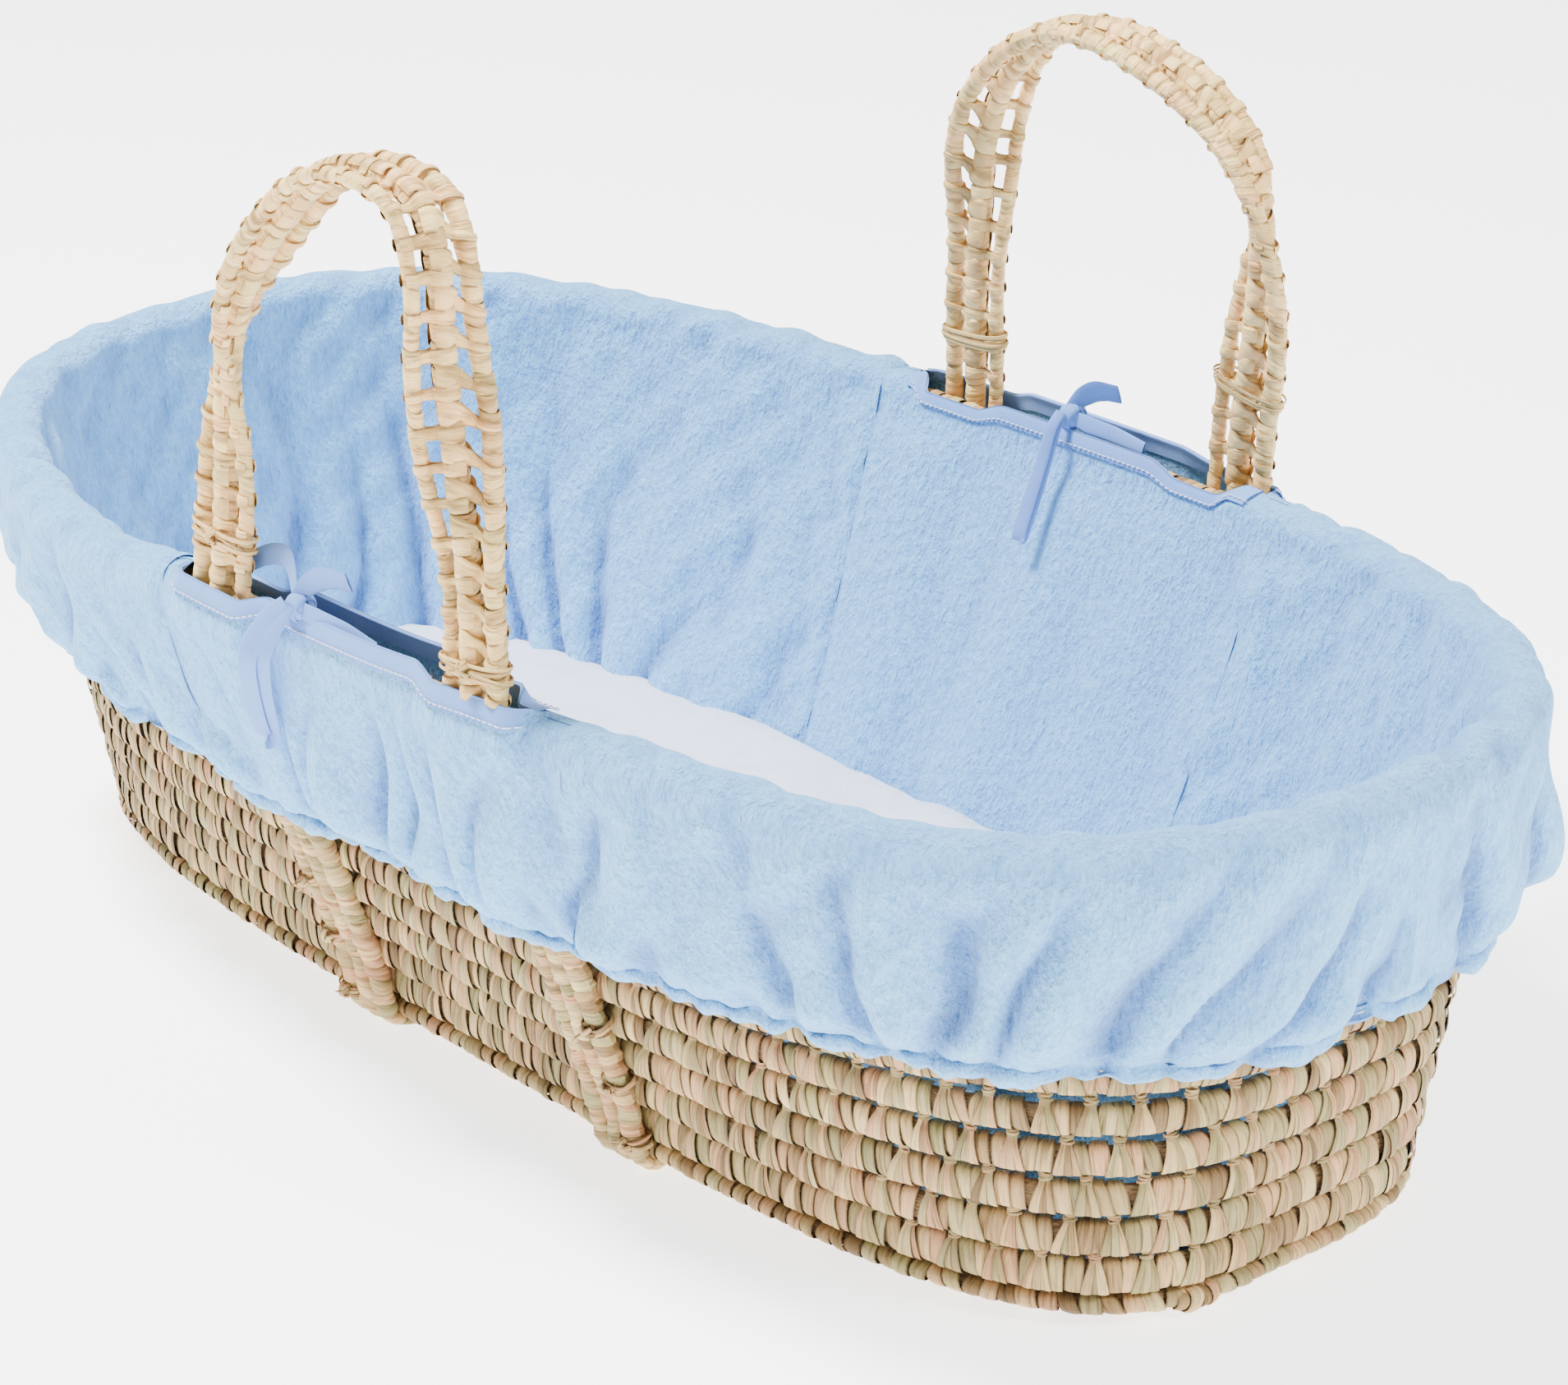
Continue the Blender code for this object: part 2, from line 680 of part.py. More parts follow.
def pad_loops(grow):
    """Loops of a pad with rounded upper and lower edges, bottom to top."""
    edge = MATTRESS_EDGE
    steps = ((0, -edge), (0.3 * edge, -0.3 * edge), (edge, 0))
    low, high = MATTRESS_LOW - grow, MATTRESS_HIGH + grow
    bottom = [mattress_oval(low + rise, grow + inset) for rise, inset in steps]
    top = [mattress_oval(high - rise, grow + inset) for rise, inset in reversed(steps)]
    return bottom + top


def make_mattress(foam_material, cover_material):
    inset = COVER + CLEARANCE
    foam_loops = pad_loops(-inset)
    loft("mattress_foam", foam_loops, foam_material)
    outside, inside = pad_loops(0.0), pad_loops(-COVER)
    outside_mouth = mattress_oval(MATTRESS_LOW, -COVER_TURN_UNDER)
    inside_mouth = mattress_oval(MATTRESS_LOW + COVER, -COVER_TURN_UNDER)
    make_cover([outside_mouth, *outside], [inside_mouth, *inside], cover_material)


def make_cover(outside, inside, material):
    """A fitted cover, one skin thick, open in the middle of its underside."""
    bm = bmesh.new()
    skins = [[[bm.verts.new(point) for point in loop] for loop in skin] for skin in (outside, inside)]
    for skin in skins:
        for one, two in zip(skin, skin[1:]):
            bridge(bm, one, two)
        bm.faces.new(skin[-1])
    bridge(bm, skins[0][0], skins[1][0])
    add_object("mattress_cover", bm, material)


def bridge(bm, one, two):
    count = len(one)
    for i in range(count):
        j = (i + 1) % count
        bm.faces.new((one[i], one[j], two[j], two[i]))


def main():
    clear_scene()
    bpy.context.scene.collection.children.link(bpy.data.collections.new(COLLECTION_NAME))
    palm = make_material("palm_leaf", (0.66, 0.55, 0.38), 0.62)
    raffia = make_material("raffia", (0.72, 0.56, 0.36), 0.7)
    fleece = make_material("blue_fleece", (0.47, 0.63, 0.80), 0.95)
    binding = make_material("blue_binding", (0.52, 0.65, 0.82), 0.7)
    elastic = make_material("elastic", (0.85, 0.85, 0.83), 0.8)
    foam = make_material("foam", (0.85, 0.82, 0.70), 0.95)
    cover = make_material("white_cotton", (0.88, 0.88, 0.92), 0.85)
    make_base_rows(palm)
    make_wall_rows(palm)
    make_rim_coil(palm)
    make_straps(palm)
    for side_name in SIDES:
        make_handle(side_name, palm, raffia)
    make_liner(fleece, binding, elastic)
    make_mattress(foam, cover)


main()
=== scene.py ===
"""The looks of a moses basket: coiled palm-leaf rows, laced strap handles, a fleece liner and a mattress.

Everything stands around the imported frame, in metres. +X runs to the foot end, -Y is the near long side.
A place on the wall is a turn round the oval (0 at +X, 0.25 at +Y), a level up the flared wall (0 at the
first row, 1 at the rim coil) and a distance out from the rows' centreline.
"""
import math

import bpy
import numpy as np
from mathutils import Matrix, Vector


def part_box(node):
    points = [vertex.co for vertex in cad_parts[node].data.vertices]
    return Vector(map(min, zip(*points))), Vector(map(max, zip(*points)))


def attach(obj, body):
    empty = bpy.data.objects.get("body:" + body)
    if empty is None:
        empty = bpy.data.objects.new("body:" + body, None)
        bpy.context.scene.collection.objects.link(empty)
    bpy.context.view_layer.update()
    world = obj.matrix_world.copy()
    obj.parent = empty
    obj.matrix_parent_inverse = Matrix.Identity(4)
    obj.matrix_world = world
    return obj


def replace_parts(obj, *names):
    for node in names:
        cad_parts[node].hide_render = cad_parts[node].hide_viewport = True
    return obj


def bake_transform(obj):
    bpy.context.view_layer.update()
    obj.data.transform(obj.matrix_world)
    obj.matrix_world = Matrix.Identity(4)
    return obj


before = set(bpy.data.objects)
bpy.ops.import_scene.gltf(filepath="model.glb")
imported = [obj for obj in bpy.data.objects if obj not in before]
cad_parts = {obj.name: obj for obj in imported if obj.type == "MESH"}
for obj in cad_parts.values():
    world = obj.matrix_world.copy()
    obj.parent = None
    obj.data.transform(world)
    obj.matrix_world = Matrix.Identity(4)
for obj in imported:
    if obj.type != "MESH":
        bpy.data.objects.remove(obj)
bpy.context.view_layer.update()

# The oval wall of the frame.
BASE_HALF_LENGTH = 0.386
BASE_HALF_WIDTH = 0.152
BASE_SQUARENESS = 3.6
RIM_HALF_LENGTH = 0.420
RIM_HALF_WIDTH = 0.2185
RIM_SQUARENESS = 2.6
CREST_HEIGHT = 0.229
CREST_TILT = 0.018
CREST_SADDLE = 0.06
CREST_ABOVE_RIM_COIL = 0.0155
FIRST_ROW_HEIGHT = 0.025
WALL_ROWS = 10
ROW_THICKNESS = 0.009
NEAR_RISE = 0.013
TABLE_POINTS = 4096
TANGENT_REACH = 8

SIDES = {"near": -1.0, "far": 1.0}
LEG_X = (-0.065, 0.119)


def seeded(key):
    return np.random.default_rng(key)


def jitter(random, reach, shape):
    return random.uniform(-reach, reach, shape)


def circle(points):
    return np.linspace(0, 2 * math.pi, points)


def unit(vectors):
    return vectors / np.linalg.norm(vectors, axis=-1, keepdims=True)


def squared(wave, power):
    """A sine or cosine with its shoulders filled out, toward a square."""
    return np.sign(wave) * np.abs(wave) ** power


def smooth(t):
    t = np.clip(t, 0.0, 1.0)
    return t * t * (3 - 2 * t)


# ---- the wall's geometry -------------------------------------------------------------------


def oval_table(half_length, half_width, squareness):
    """Evenly spaced points round a superellipse, and the direction along it at each."""
    angle = circle(4 * TABLE_POINTS + 1)
    cosine, sine = np.cos(angle), np.sin(angle)
    x = half_length * np.sign(cosine) * np.abs(cosine) ** (2.0 / squareness)
    y = half_width * np.sign(sine) * np.abs(sine) ** (2.0 / squareness)
    run = np.concatenate([[0.0], np.cumsum(np.hypot(np.diff(x), np.diff(y)))])
    at = np.linspace(0.0, run[-1], TABLE_POINTS + 1)
    points = np.stack([np.interp(at, run, x), np.interp(at, run, y)], axis=-1)
    reach = TANGENT_REACH
    wide = np.concatenate([points[-reach - 1:-1], points, points[1:reach + 1]])
    return points, unit(wide[2 * reach:] - wide[:-2 * reach])


INSET = ROW_THICKNESS / 2
FOOT = oval_table(BASE_HALF_LENGTH - INSET, BASE_HALF_WIDTH - INSET, BASE_SQUARENESS)
RIM = oval_table(RIM_HALF_LENGTH, RIM_HALF_WIDTH, RIM_SQUARENESS)


def look_up(table, turn):
    at = np.mod(turn, 1.0) * TABLE_POINTS
    low = np.floor(at).astype(int) % TABLE_POINTS
    share = (at - np.floor(at))[..., None]
    return table[low] * (1 - share) + table[low + 1] * share


def rim_coil_height(x):
    return CREST_HEIGHT + CREST_TILT * x + CREST_SADDLE * x * x - CREST_ABOVE_RIM_COIL


def near_rise(plan, level):
    """The near side of the rim rises a little beside its handle."""
    x, y = plan[..., 0], plan[..., 1]
    beside = smooth((x + 0.19) / 0.10) * smooth((0.36 - x) / 0.18) * smooth(-y / 0.10)
    return NEAR_RISE * beside * smooth((level - 0.56) / 0.44)


def wall(turn, level, out=0.0, up=0.0):
    """Points on the wall. All four may be arrays of one shape, or numbers."""
    turn, level, out, up = np.broadcast_arrays(*(np.asarray(v, float) for v in (turn, level, out, up)))
    share = level[..., None]
    plan = look_up(FOOT[0], turn) * (1 - share) + look_up(RIM[0], turn) * share
    along = look_up(FOOT[1], turn) * (1 - share) + look_up(RIM[1], turn) * share
    along = unit(along)
    normal = np.stack([along[..., 1], -along[..., 0]], axis=-1)
    rim = rim_coil_height(plan[..., 0])
    height = FIRST_ROW_HEIGHT + level * (rim - FIRST_ROW_HEIGHT) + near_rise(plan, level) + up
    return np.concatenate([plan + normal * out[..., None], height[..., None]], axis=-1)


def perimeter(level):
    ring = wall(np.linspace(0, 1, 721), level)
    return float(np.linalg.norm(np.diff(ring, axis=0), axis=1).sum())


RIM_LENGTH = perimeter(1.0)


def rim_run(turn):
    """The distance round the rim, from its foot end."""
    return np.mod(turn, 1.0) * RIM_LENGTH


def rim_x(turn):
    return wall(turn, 1.0)[..., 0]


def turn_at(x, side, level=1.0):
    """The turn at which the wall passes this x on the near (-1) or far (+1) side."""
    turns = np.linspace(0.0, 0.5, 1441)
    turn = np.interp(-np.asarray(x, float), -wall(turns, level)[:, 0], turns)
    return turn if side > 0 else 1.0 - turn


# ---- making meshes -------------------------------------------------------------------------

PLAIN_TONE = np.array([[0.5, 1.0, 0.5]])


def grid_mesh(name, points, tones=None, uv_size=(1.0, 1.0)):
    """One mesh of many equal patches. points is (patches, along, across, 3). Each patch carries its
    tone, three random numbers, and UVs: u across the patch, v along it."""
    count, along, across, _ = points.shape
    one = np.arange(along * across).reshape(along, across)
    quads = np.stack([one[:-1, :-1], one[:-1, 1:], one[1:, 1:], one[1:, :-1]], axis=-1).reshape(-1, 4)
    faces = (quads[None] + (np.arange(count) * along * across)[:, None, None]).reshape(-1, 4)
    mesh = bpy.data.meshes.new(name)
    mesh.vertices.add(count * along * across)
    mesh.vertices.foreach_set("co", points.reshape(-1).astype(np.float32))
    mesh.loops.add(faces.size)
    mesh.loops.foreach_set("vertex_index", faces.reshape(-1).astype(np.int32))
    mesh.polygons.add(len(faces))
    mesh.polygons.foreach_set("loop_start", np.arange(0, faces.size, 4, dtype=np.int32))
    mesh.update(calc_edges=True)
    u = np.broadcast_to(np.linspace(0, uv_size[0], across), (count, along, across))
    v = np.broadcast_to(np.linspace(0, uv_size[1], along)[:, None], (count, along, across))
    uv = np.stack([u, v], axis=-1).reshape(-1, 2)[faces.reshape(-1)]
    mesh.uv_layers.new(name="leaf").data.foreach_set("uv", uv.reshape(-1).astype(np.float32))
    if tones is not None:
        colour = mesh.color_attributes.new("tone", "FLOAT_COLOR", "POINT")
        values = np.concatenate([tones, np.ones((count, 1))], axis=1)
        values = np.repeat(values, along * across, axis=0)
        colour.data.foreach_set("color", values.reshape(-1).astype(np.float32))
    mesh.polygons.foreach_set("use_smooth", np.ones(len(faces), dtype=bool))
    obj = bpy.data.objects.new(name, mesh)
    bpy.context.scene.collection.objects.link(obj)
    return obj


def joined(name, parts):
    """Joins meshes made by grid_mesh into one object."""
    bpy.ops.object.select_all(action="DESELECT")
    for part in parts:
        part.select_set(True)
    bpy.context.view_layer.objects.active = parts[0]
    bpy.ops.object.join()
    parts[0].name = name
    parts[0].data.name = name
    return parts[0]


def finish_piece(obj, material, slot, *nodes, body="basket"):
    """Gives a piece its material and body, and says which of the frame's nodes it stands for."""
    obj.data.materials.clear()
    obj.data.materials.append(material)
    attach(obj, body)
    if nodes:
        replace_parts(obj, *nodes)
    return obj


# ---- materials -----------------------------------------------------------------------------


class Nodes:
    """A short way to write a material's node tree."""

    def __init__(self, name, **shader_values):
        self.material = bpy.data.materials.new(name)
        self.material.use_nodes = True
        self.tree = self.material.node_tree
        self.shader = self.tree.nodes["Principled BSDF"]
        for socket, value in shader_values.items():
            self.shader.inputs[socket.replace("_", " ")].default_value = value

    def add(self, kind, inputs=None, **settings):
        node = self.tree.nodes.new("ShaderNode" + kind)
        for key, value in settings.items():
            setattr(node, key, value)
        for key, value in (inputs or {}).items():
            self.feed(node.inputs[key], value)
        return node

    def feed(self, socket, value):
        if isinstance(value, bpy.types.NodeSocket):
            self.tree.links.new(value, socket)
        else:
            socket.default_value = value

    def noise(self, vector, scale, detail=2.0, roughness=0.5):
        inputs = {"Vector": vector, "Scale": scale, "Detail": detail, "Roughness": roughness}
        return self.add("TexNoise", inputs).outputs["Fac"]

    def ramp(self, factor, stops):
        node = self.add("ValToRGB", {"Fac": factor})
        elements = node.color_ramp.elements
        while len(elements) < len(stops):
            elements.new(0.5)
        for element, (position, colour) in zip(elements, stops):
            element.position = position
            element.color = (*colour, 1.0)
        return node.outputs["Color"]

    def mix(self, factor, one, two, blend="MIX"):
        node = self.add("Mix", data_type="RGBA", blend_type=blend)
        self.feed(node.inputs[0], factor)
        self.feed(node.inputs[6], one)
        self.feed(node.inputs[7], two)
        return node.outputs[2]

    def math(self, operation, one, two=0.0):
        node = self.add("Math", operation=operation)
        self.feed(node.inputs[0], one)
        self.feed(node.inputs[1], two)
        return node.outputs[0]

    def place(self):
        return self.add("TexCoord").outputs["Object"]

    def tint(self, base, amount, factor, *stops):
        """Multiplies a colour by a ramp."""
        return self.mix(amount, base, self.ramp(factor, stops), "MULTIPLY")

    def bump(self, height, distance, strength=1.0):
        inputs = {"Height": height, "Distance": distance, "Strength": strength}
        return self.add("Bump", inputs).outputs["Normal"]

    def finish(self, colour, normal=None, roughness=None):
        self.feed(self.shader.inputs["Base Color"], colour)
        if normal is not None:
            self.feed(self.shader.inputs["Normal"], normal)
        if roughness is not None:
            self.feed(self.shader.inputs["Roughness"], roughness)
        return self.material


LEAF_TONES = (
    (0.00, (0.29, 0.175, 0.065)), (0.13, (0.53, 0.345, 0.145)), (0.30, (0.44, 0.385, 0.16)),
    (0.48, (0.73, 0.49, 0.225)), (0.66, (0.72, 0.385, 0.19)), (0.84, (0.84, 0.61, 0.28)),
    (1.00, (0.53, 0.465, 0.215)),
)
EVEN_TONE = (0.94, 0.63, 0.24)


def palm_leaf(name, lightness, gloss, evenness=0.0):
    """Dried palm leaf: every wrap has its own tone, with fine streaks and ribs along the leaf. The streaks
    are darkened as painted shade in their creases, and painted shade lines both edges of each wrap.
    """
    nodes = Nodes(name, Roughness=gloss, Specular_IOR_Level=0.35)
    tone = nodes.add("VertexColor", layer_name="tone").outputs["Color"]
    parts = nodes.add("SeparateColor", {"Color": tone}).outputs
    uv = nodes.add("UVMap", uv_map="leaf").outputs["UV"]
    shift = nodes.add("VectorMath", {0: uv, 1: tone}, operation="ADD").outputs[0]
    stretch = nodes.add("Mapping", {"Vector": shift, "Scale": (0.0075, 0.045, 1.0)}).outputs[0]
    streak_and_crease_shade = nodes.noise(stretch, 700.0, 3.0, 0.6)
    ribs = nodes.noise(stretch, 2200.0, 1.0)
    side = nodes.add("SeparateXYZ", {"Vector": uv}).outputs["X"]
    rim = nodes.math("ABSOLUTE", nodes.math("SUBTRACT", side, 0.5))
    blotch = nodes.noise(nodes.place(), 90.0, 3.0, 0.6)
    base = nodes.ramp(parts["Red"], LEAF_TONES)
    base = nodes.tint(base, 1.0, parts["Green"], (0.0, (0.62,) * 3), (1.0, (1.0,) * 3))
    base = nodes.mix(evenness, base, (*EVEN_TONE, 1.0))
    # Fine streaks of the leaf's own colour, darker where the same noise sinks into the bump's creases:
    # partly real streaks, partly painted shade in the creases.
    base = nodes.tint(base, 0.80, streak_and_crease_shade, (0.34, (0.40, 0.33, 0.22)), (0.52, (1.04, 1.02, 1.0)))
    # Painted shade along both edges of every wrap, where it meets its neighbour.
    base = nodes.tint(base, 0.85, rim, (0.37, (1.0, 1.0, 1.0)), (0.5, (0.20, 0.14, 0.08)))
    base = nodes.tint(base, 0.6, blotch, (0.32, (0.74, 0.70, 0.62)), (0.60, (1.04, 1.03, 1.0)))
    base = nodes.mix(1.0, base, (lightness, lightness, lightness, 1.0), "MULTIPLY")
    height = nodes.math("ADD", streak_and_crease_shade, nodes.math("MULTIPLY", ribs, 0.5))
    rough = nodes.math("MULTIPLY_ADD", blotch, 0.3)
    rough.node.inputs[2].default_value = gloss - 0.12
    return nodes.finish(base, nodes.bump(height, 0.0014, 0.8), rough)


def bundle_core():
    """The bundle inside the wraps, seen in the crevices: brown fibres along the row."""
    nodes = Nodes("bundle_core", Roughness=0.8)
    stretch = nodes.add("Mapping", {"Vector": nodes.place(), "Scale": (0.15, 0.15, 1.0)}).outputs[0]
    fibres = nodes.noise(stretch, 1500.0, 2.0)
    colour = nodes.ramp(fibres, ((0.3, (0.10, 0.055, 0.02)), (0.7, (0.36, 0.22, 0.09))))
    return nodes.finish(colour, nodes.bump(fibres, 0.0008))


def fleece(name, colour, shade):
    """Brushed fleece: a short matt pile in small tufts, with painted shade in the hollows of the folds and
    a painted highlight on their crests.
    """
    nodes = Nodes(name, Roughness=0.95, Specular_IOR_Level=0.1, Sheen_Weight=0.25, Sheen_Roughness=0.5)
    brushed = nodes.add("Mapping", {"Vector": nodes.place(), "Scale": (1.0, 1.0, 0.5)}).outputs[0]
    pile = nodes.noise(brushed, 620.0, 3.0, 0.65)
    tufts = nodes.noise(brushed, 240.0, 4.0, 0.6)
    cloud = nodes.noise(brushed, 32.0, 3.0)
    base = nodes.mix(cloud, (*shade, 1.0), (*colour, 1.0))
    base = nodes.tint(base, 0.75, pile, (0.36, (0.72, 0.80, 0.90)), (0.60, (1.10, 1.06, 1.03)))
    base = nodes.tint(base, 0.7, tufts, (0.38, (0.76, 0.83, 0.92)), (0.58, (1.10, 1.06, 1.03)))
    # Painted shade, lilac-grey, in the hollows of the folds and a painted highlight on their crests, from
    # how far each point stands past its neighbours.
    fold_shade = nodes.add("Attribute", attribute_name="fold_shade").outputs["Fac"]
    base = nodes.tint(
        base, 1.0, fold_shade,
        (0.08, (0.53, 0.51, 0.64)), (0.46, (0.98, 0.94, 0.96)), (0.88, (1.16, 1.10, 1.03)),
    )
    height = nodes.math("ADD", nodes.math("MULTIPLY", tufts, 1.3), nodes.math("MULTIPLY", pile, 0.6))
    return nodes.finish(base, nodes.bump(height, 0.0044, 0.8))


def woven_cotton(name, colour, threads):
    """Plain cotton: a fine over-and-under weave."""
    nodes = Nodes(name, Roughness=0.72, Specular_IOR_Level=0.25, Sheen_Weight=0.15)
    place = nodes.place()
    warp = nodes.add("TexWave", {"Vector": place, "Scale": threads}, bands_direction="X").outputs["Fac"]
    weft = nodes.add("TexWave", {"Vector": place, "Scale": threads}, bands_direction="Z").outputs["Fac"]
    weave = nodes.math("MULTIPLY", warp, weft)
    soft = nodes.noise(place, 60.0, 3.0)
    dark = tuple(0.88 * c for c in colour)
    base = nodes.mix(soft, (*dark, 1.0), (*colour, 1.0))
    base = nodes.tint(base, 0.6, weave, (0.0, (0.93, 0.94, 0.95)), (1.0, (1.03, 1.03, 1.03)))
    return nodes.finish(base, nodes.bump(weave, 0.0002, 0.5))


def pale_floor():
    nodes = Nodes("studio_floor", Roughness=0.9, Specular_IOR_Level=0.1, Emission_Strength=2.7)
    nodes.shader.inputs["Emission Color"].default_value = (1.0, 1.0, 1.0, 1.0)
    cloud = nodes.noise(nodes.place(), 1.2, 2.0)
    return nodes.finish(nodes.mix(cloud, (0.92, 0.92, 0.925, 1), (0.95, 0.95, 0.95, 1)))


PALM = palm_leaf("palm_wraps", 1.0, 0.62)
PALM_HANDLE = palm_leaf("palm_handle_wraps", 1.28, 0.5, 0.42)
CORE = bundle_core()
FLEECE = fleece("blue_fleece", (0.24, 0.60, 1.0), (0.20, 0.55, 0.96))
BINDING = woven_cotton("blue_binding", (0.19, 0.36, 0.80), 900.0)
THREAD = woven_cotton("white_thread", (0.82, 0.86, 0.92), 1500.0)
JERSEY = woven_cotton("white_jersey", (0.72, 0.77, 0.90), 700.0)
RAFFIA = palm_leaf("raffia_fibre", 1.05, 0.6, 0.5)
FOAM = woven_cotton("cream_foam", (0.82, 0.78, 0.66), 300.0)
ELASTIC = woven_cotton("white_elastic", (0.80, 0.80, 0.79), 1100.0)


# ---- strips, paths and wraps ---------------------------------------------------------------

ACROSS = 4
LASHING_WANDER = 0.0014


def leaf_tones(random, count, low=0.0):
    """Each leaf's tone: where it falls in the range of colours, and how dark it is."""
    return np.stack([random.uniform(floor, 1, count) for floor in (0, low, 0)], 1)


class Path:
    """A centreline with two cross directions and two half sizes, looked up by distance along it."""

    def __init__(self, centres, across, through, sizes):
        steps = np.linalg.norm(np.diff(centres, axis=0), axis=1)
        self.run = np.concatenate([[0.0], np.cumsum(steps)])
        self.length = float(self.run[-1])
        self.rows = np.concatenate([centres, across, through, sizes], axis=1)

    def at(self, s):
        values = np.stack([np.interp(s, self.run, column) for column in self.rows.T], axis=-1)
        return np.split(values, (3, 6, 9, 10), axis=-1)

    def beside(self, offset, sizes):
        """A path that runs offset to one side of this one, with its own half sizes."""
        sizes = np.broadcast_to(sizes, (len(self.rows), 2))
        centres, across, through = np.split(self.rows[:, :9], 3, axis=1)
        return Path(centres + across * offset, across, through, sizes)


def spline(points, per_span=24):
    """A smooth curve through the points, as many closely spaced points."""
    points = np.array(points, float)
    ends = np.vstack([2 * points[0] - points[1], points, 2 * points[-1] - points[-2]])
    q = np.linspace(0, len(points) - 1, per_span * (len(points) - 1) + 1)
    i = np.minimum(q.astype(int), len(points) - 2)
    t = (q - i)[:, None]
    a, b, c, d = ends[i], ends[i + 1], ends[i + 2], ends[i + 3]
    square, cube = 2 * a - 5 * b + 4 * c - d, 3 * b - a - 3 * c + d
    return 0.5 * (2 * b + (c - a) * t + square * t ** 2 + cube * t ** 3)


def tube(name, centres, across, through, half_width, half_thickness, tones, sides=8):
    """Closed flattened strips. centres, across and through are (strips, along, 3)."""
    angle = circle(sides + 1)
    a = half_width[..., None, None] * np.cos(angle)[:, None]
    t = half_thickness[..., None, None] * np.sin(angle)[:, None]
    points = centres[..., None, :] + across[..., None, :] * a + through[..., None, :] * t
    return grid_mesh(name, points, tones, (1.0, 0.03))


def wound_leaf(name, path, start, end, random, wrap=0.0088, rough=0.055):
    """Leaf wound round a strand: each turn flares over the one before it and tilts a little."""
    places = []
    s = start
    while s < end:
        places.append(s)
        s += wrap * random.uniform(0.72, 1.25)
    place = np.array(places)
    count = len(place)
    reach = np.append(np.diff(place), wrap) * 1.18
    v = np.array([0.0, 0.12, 0.5, 0.86, 1.0])
    flare = np.array([0.94, 1.055, 1.03, 0.95, 0.80])
    angle = circle(15)
    tilt = random.uniform(0.0004, 0.0022, count)[:, None]
    tilt = tilt * np.sin(angle + random.uniform(0, 0.9, (count, 1)))
    at = place[:, None, None] + reach[:, None, None] * v + tilt[..., None]
    centre, across, through, half_width, half_thickness = path.at(np.clip(at, 0, path.length))
    size = flare * random.uniform(1 - rough, 1 + rough, (count, 1, 1))
    lumps = 1 + 0.05 * np.sin(3 * angle + random.uniform(0, 6.3, (count, 1)))
    size = (size * lumps[..., None])[..., None]
    turn = angle[None, :, None, None]
    sideways = across * half_width * size * np.cos(turn)
    points = centre + sideways + through * half_thickness * size * np.sin(turn)
    return grid_mesh(name, points, leaf_tones(random, count, 0.2), (1.0, 0.035))


def lashing(name, path, s, count, pitch, half_width, half_thickness, random, offset=0.0):
    """Raffia wound round a band, with a knot on its face and a few short ends."""
    angle = circle(33)[None]
    place = s + (np.arange(count) - (count - 1) / 2)[:, None] * pitch
    at = place + LASHING_WANDER * np.sin(angle + random.uniform(0, 6.3, (count, 1))) + 0 * angle
    centre, across, through, _, _ = path.at(np.clip(at, 0, path.length))
    centre = centre + across * offset
    grow = random.uniform(1.0, 1.12, (count, 1, 1))
    cosine, sine = squared(np.cos(angle), 0.7)[..., None], squared(np.sin(angle), 0.7)[..., None]
    ring = centre + across * (half_width * grow) * cosine + through * (half_thickness * grow) * sine
    outward = unit(across * cosine + through * sine)
    along = unit(np.cross(outward, np.gradient(ring, axis=1)))
    width = np.broadcast_to(random.uniform(0.0007, 0.0013, (count, 1)), ring.shape[:2])
    rings = tube(name, ring, along, outward, width, width * 0.45, leaf_tones(random, count, 0.5), 6)
    return [rings, *knot(name, path, s, half_thickness, random, offset)]


def knot(name, path, s, half_thickness, random, offset=0.0):
    """A small raffia knot standing on the face of a band, with frayed ends."""
    centre, across, through, _, _ = path.at(np.array([s]))
    centre = centre[0] + across[0] * offset + through[0] * half_thickness
    along = np.cross(across[0], through[0])
    loops, fibres = [], []
    for _ in range(4):
        spin = random.uniform(0, math.pi)
        one = across[0] * math.cos(spin) + along * math.sin(spin)
        angle = circle(17)[:, None]
        loops.append(centre + one * 0.0034 * np.cos(angle) + through[0] * (0.0026 * np.sin(angle) + 0.0006))
    for _ in range(3):
        away = unit(across[0] * random.uniform(-1, 1) + along * random.uniform(-1, 0.4) + through[0] * 0.4)
        bend = unit(across[0] * random.uniform(-1, 1) + through[0] * random.uniform(-0.2, 1))
        t = np.linspace(0, 1, 17)[:, None]
        fibres.append(centre + away * t * random.uniform(0.004, 0.007) + bend * t * t * 0.003)
    made = []
    for label, lines, thick in (("knot", loops, 0.0013), ("ends", fibres, 0.00042)):
        lines = np.array(lines)
        along_line = unit(np.gradient(lines, axis=1))
        side = unit(np.cross(along_line, through[0] + 0.013 * across[0]))
        size = np.full(lines.shape[:2], thick)
        made.append(
            tube(f"{name}_{label}", lines, side, np.cross(side, along_line), size, size * 0.7,
                 leaf_tones(random, len(lines), 0.5), 6)
        )
    return made


# ---- coiled rows ---------------------------------------------------------------------------

TIE_SPACING = 0.0205
COIL_END_X = 0.378
COIL_END_HEIGHT = 0.0088
COIL_END_LENGTH = 0.024
COIL_END_OUT = 0.0015
COIL_END_HALF_SIZES = (0.0052, 0.0046)
ROW_PITCH = 0.0195
FAN_PLEATS = 3
OPEN_ROWS = 7
ROW_HALF_HEIGHTS = (0.0083, 0.0080, 0.0077, 0.0073, 0.0069, 0.0066)
RIM_HALF_SIZES = (0.0093, 0.0060)
BASE_HEIGHT = 0.010
BASE_ROWS = 7
BASE_ROW_WIDTH = 0.0182
BASE_ROW_PITCH = 0.0195
BASE_FIRST_INSET = 0.0005


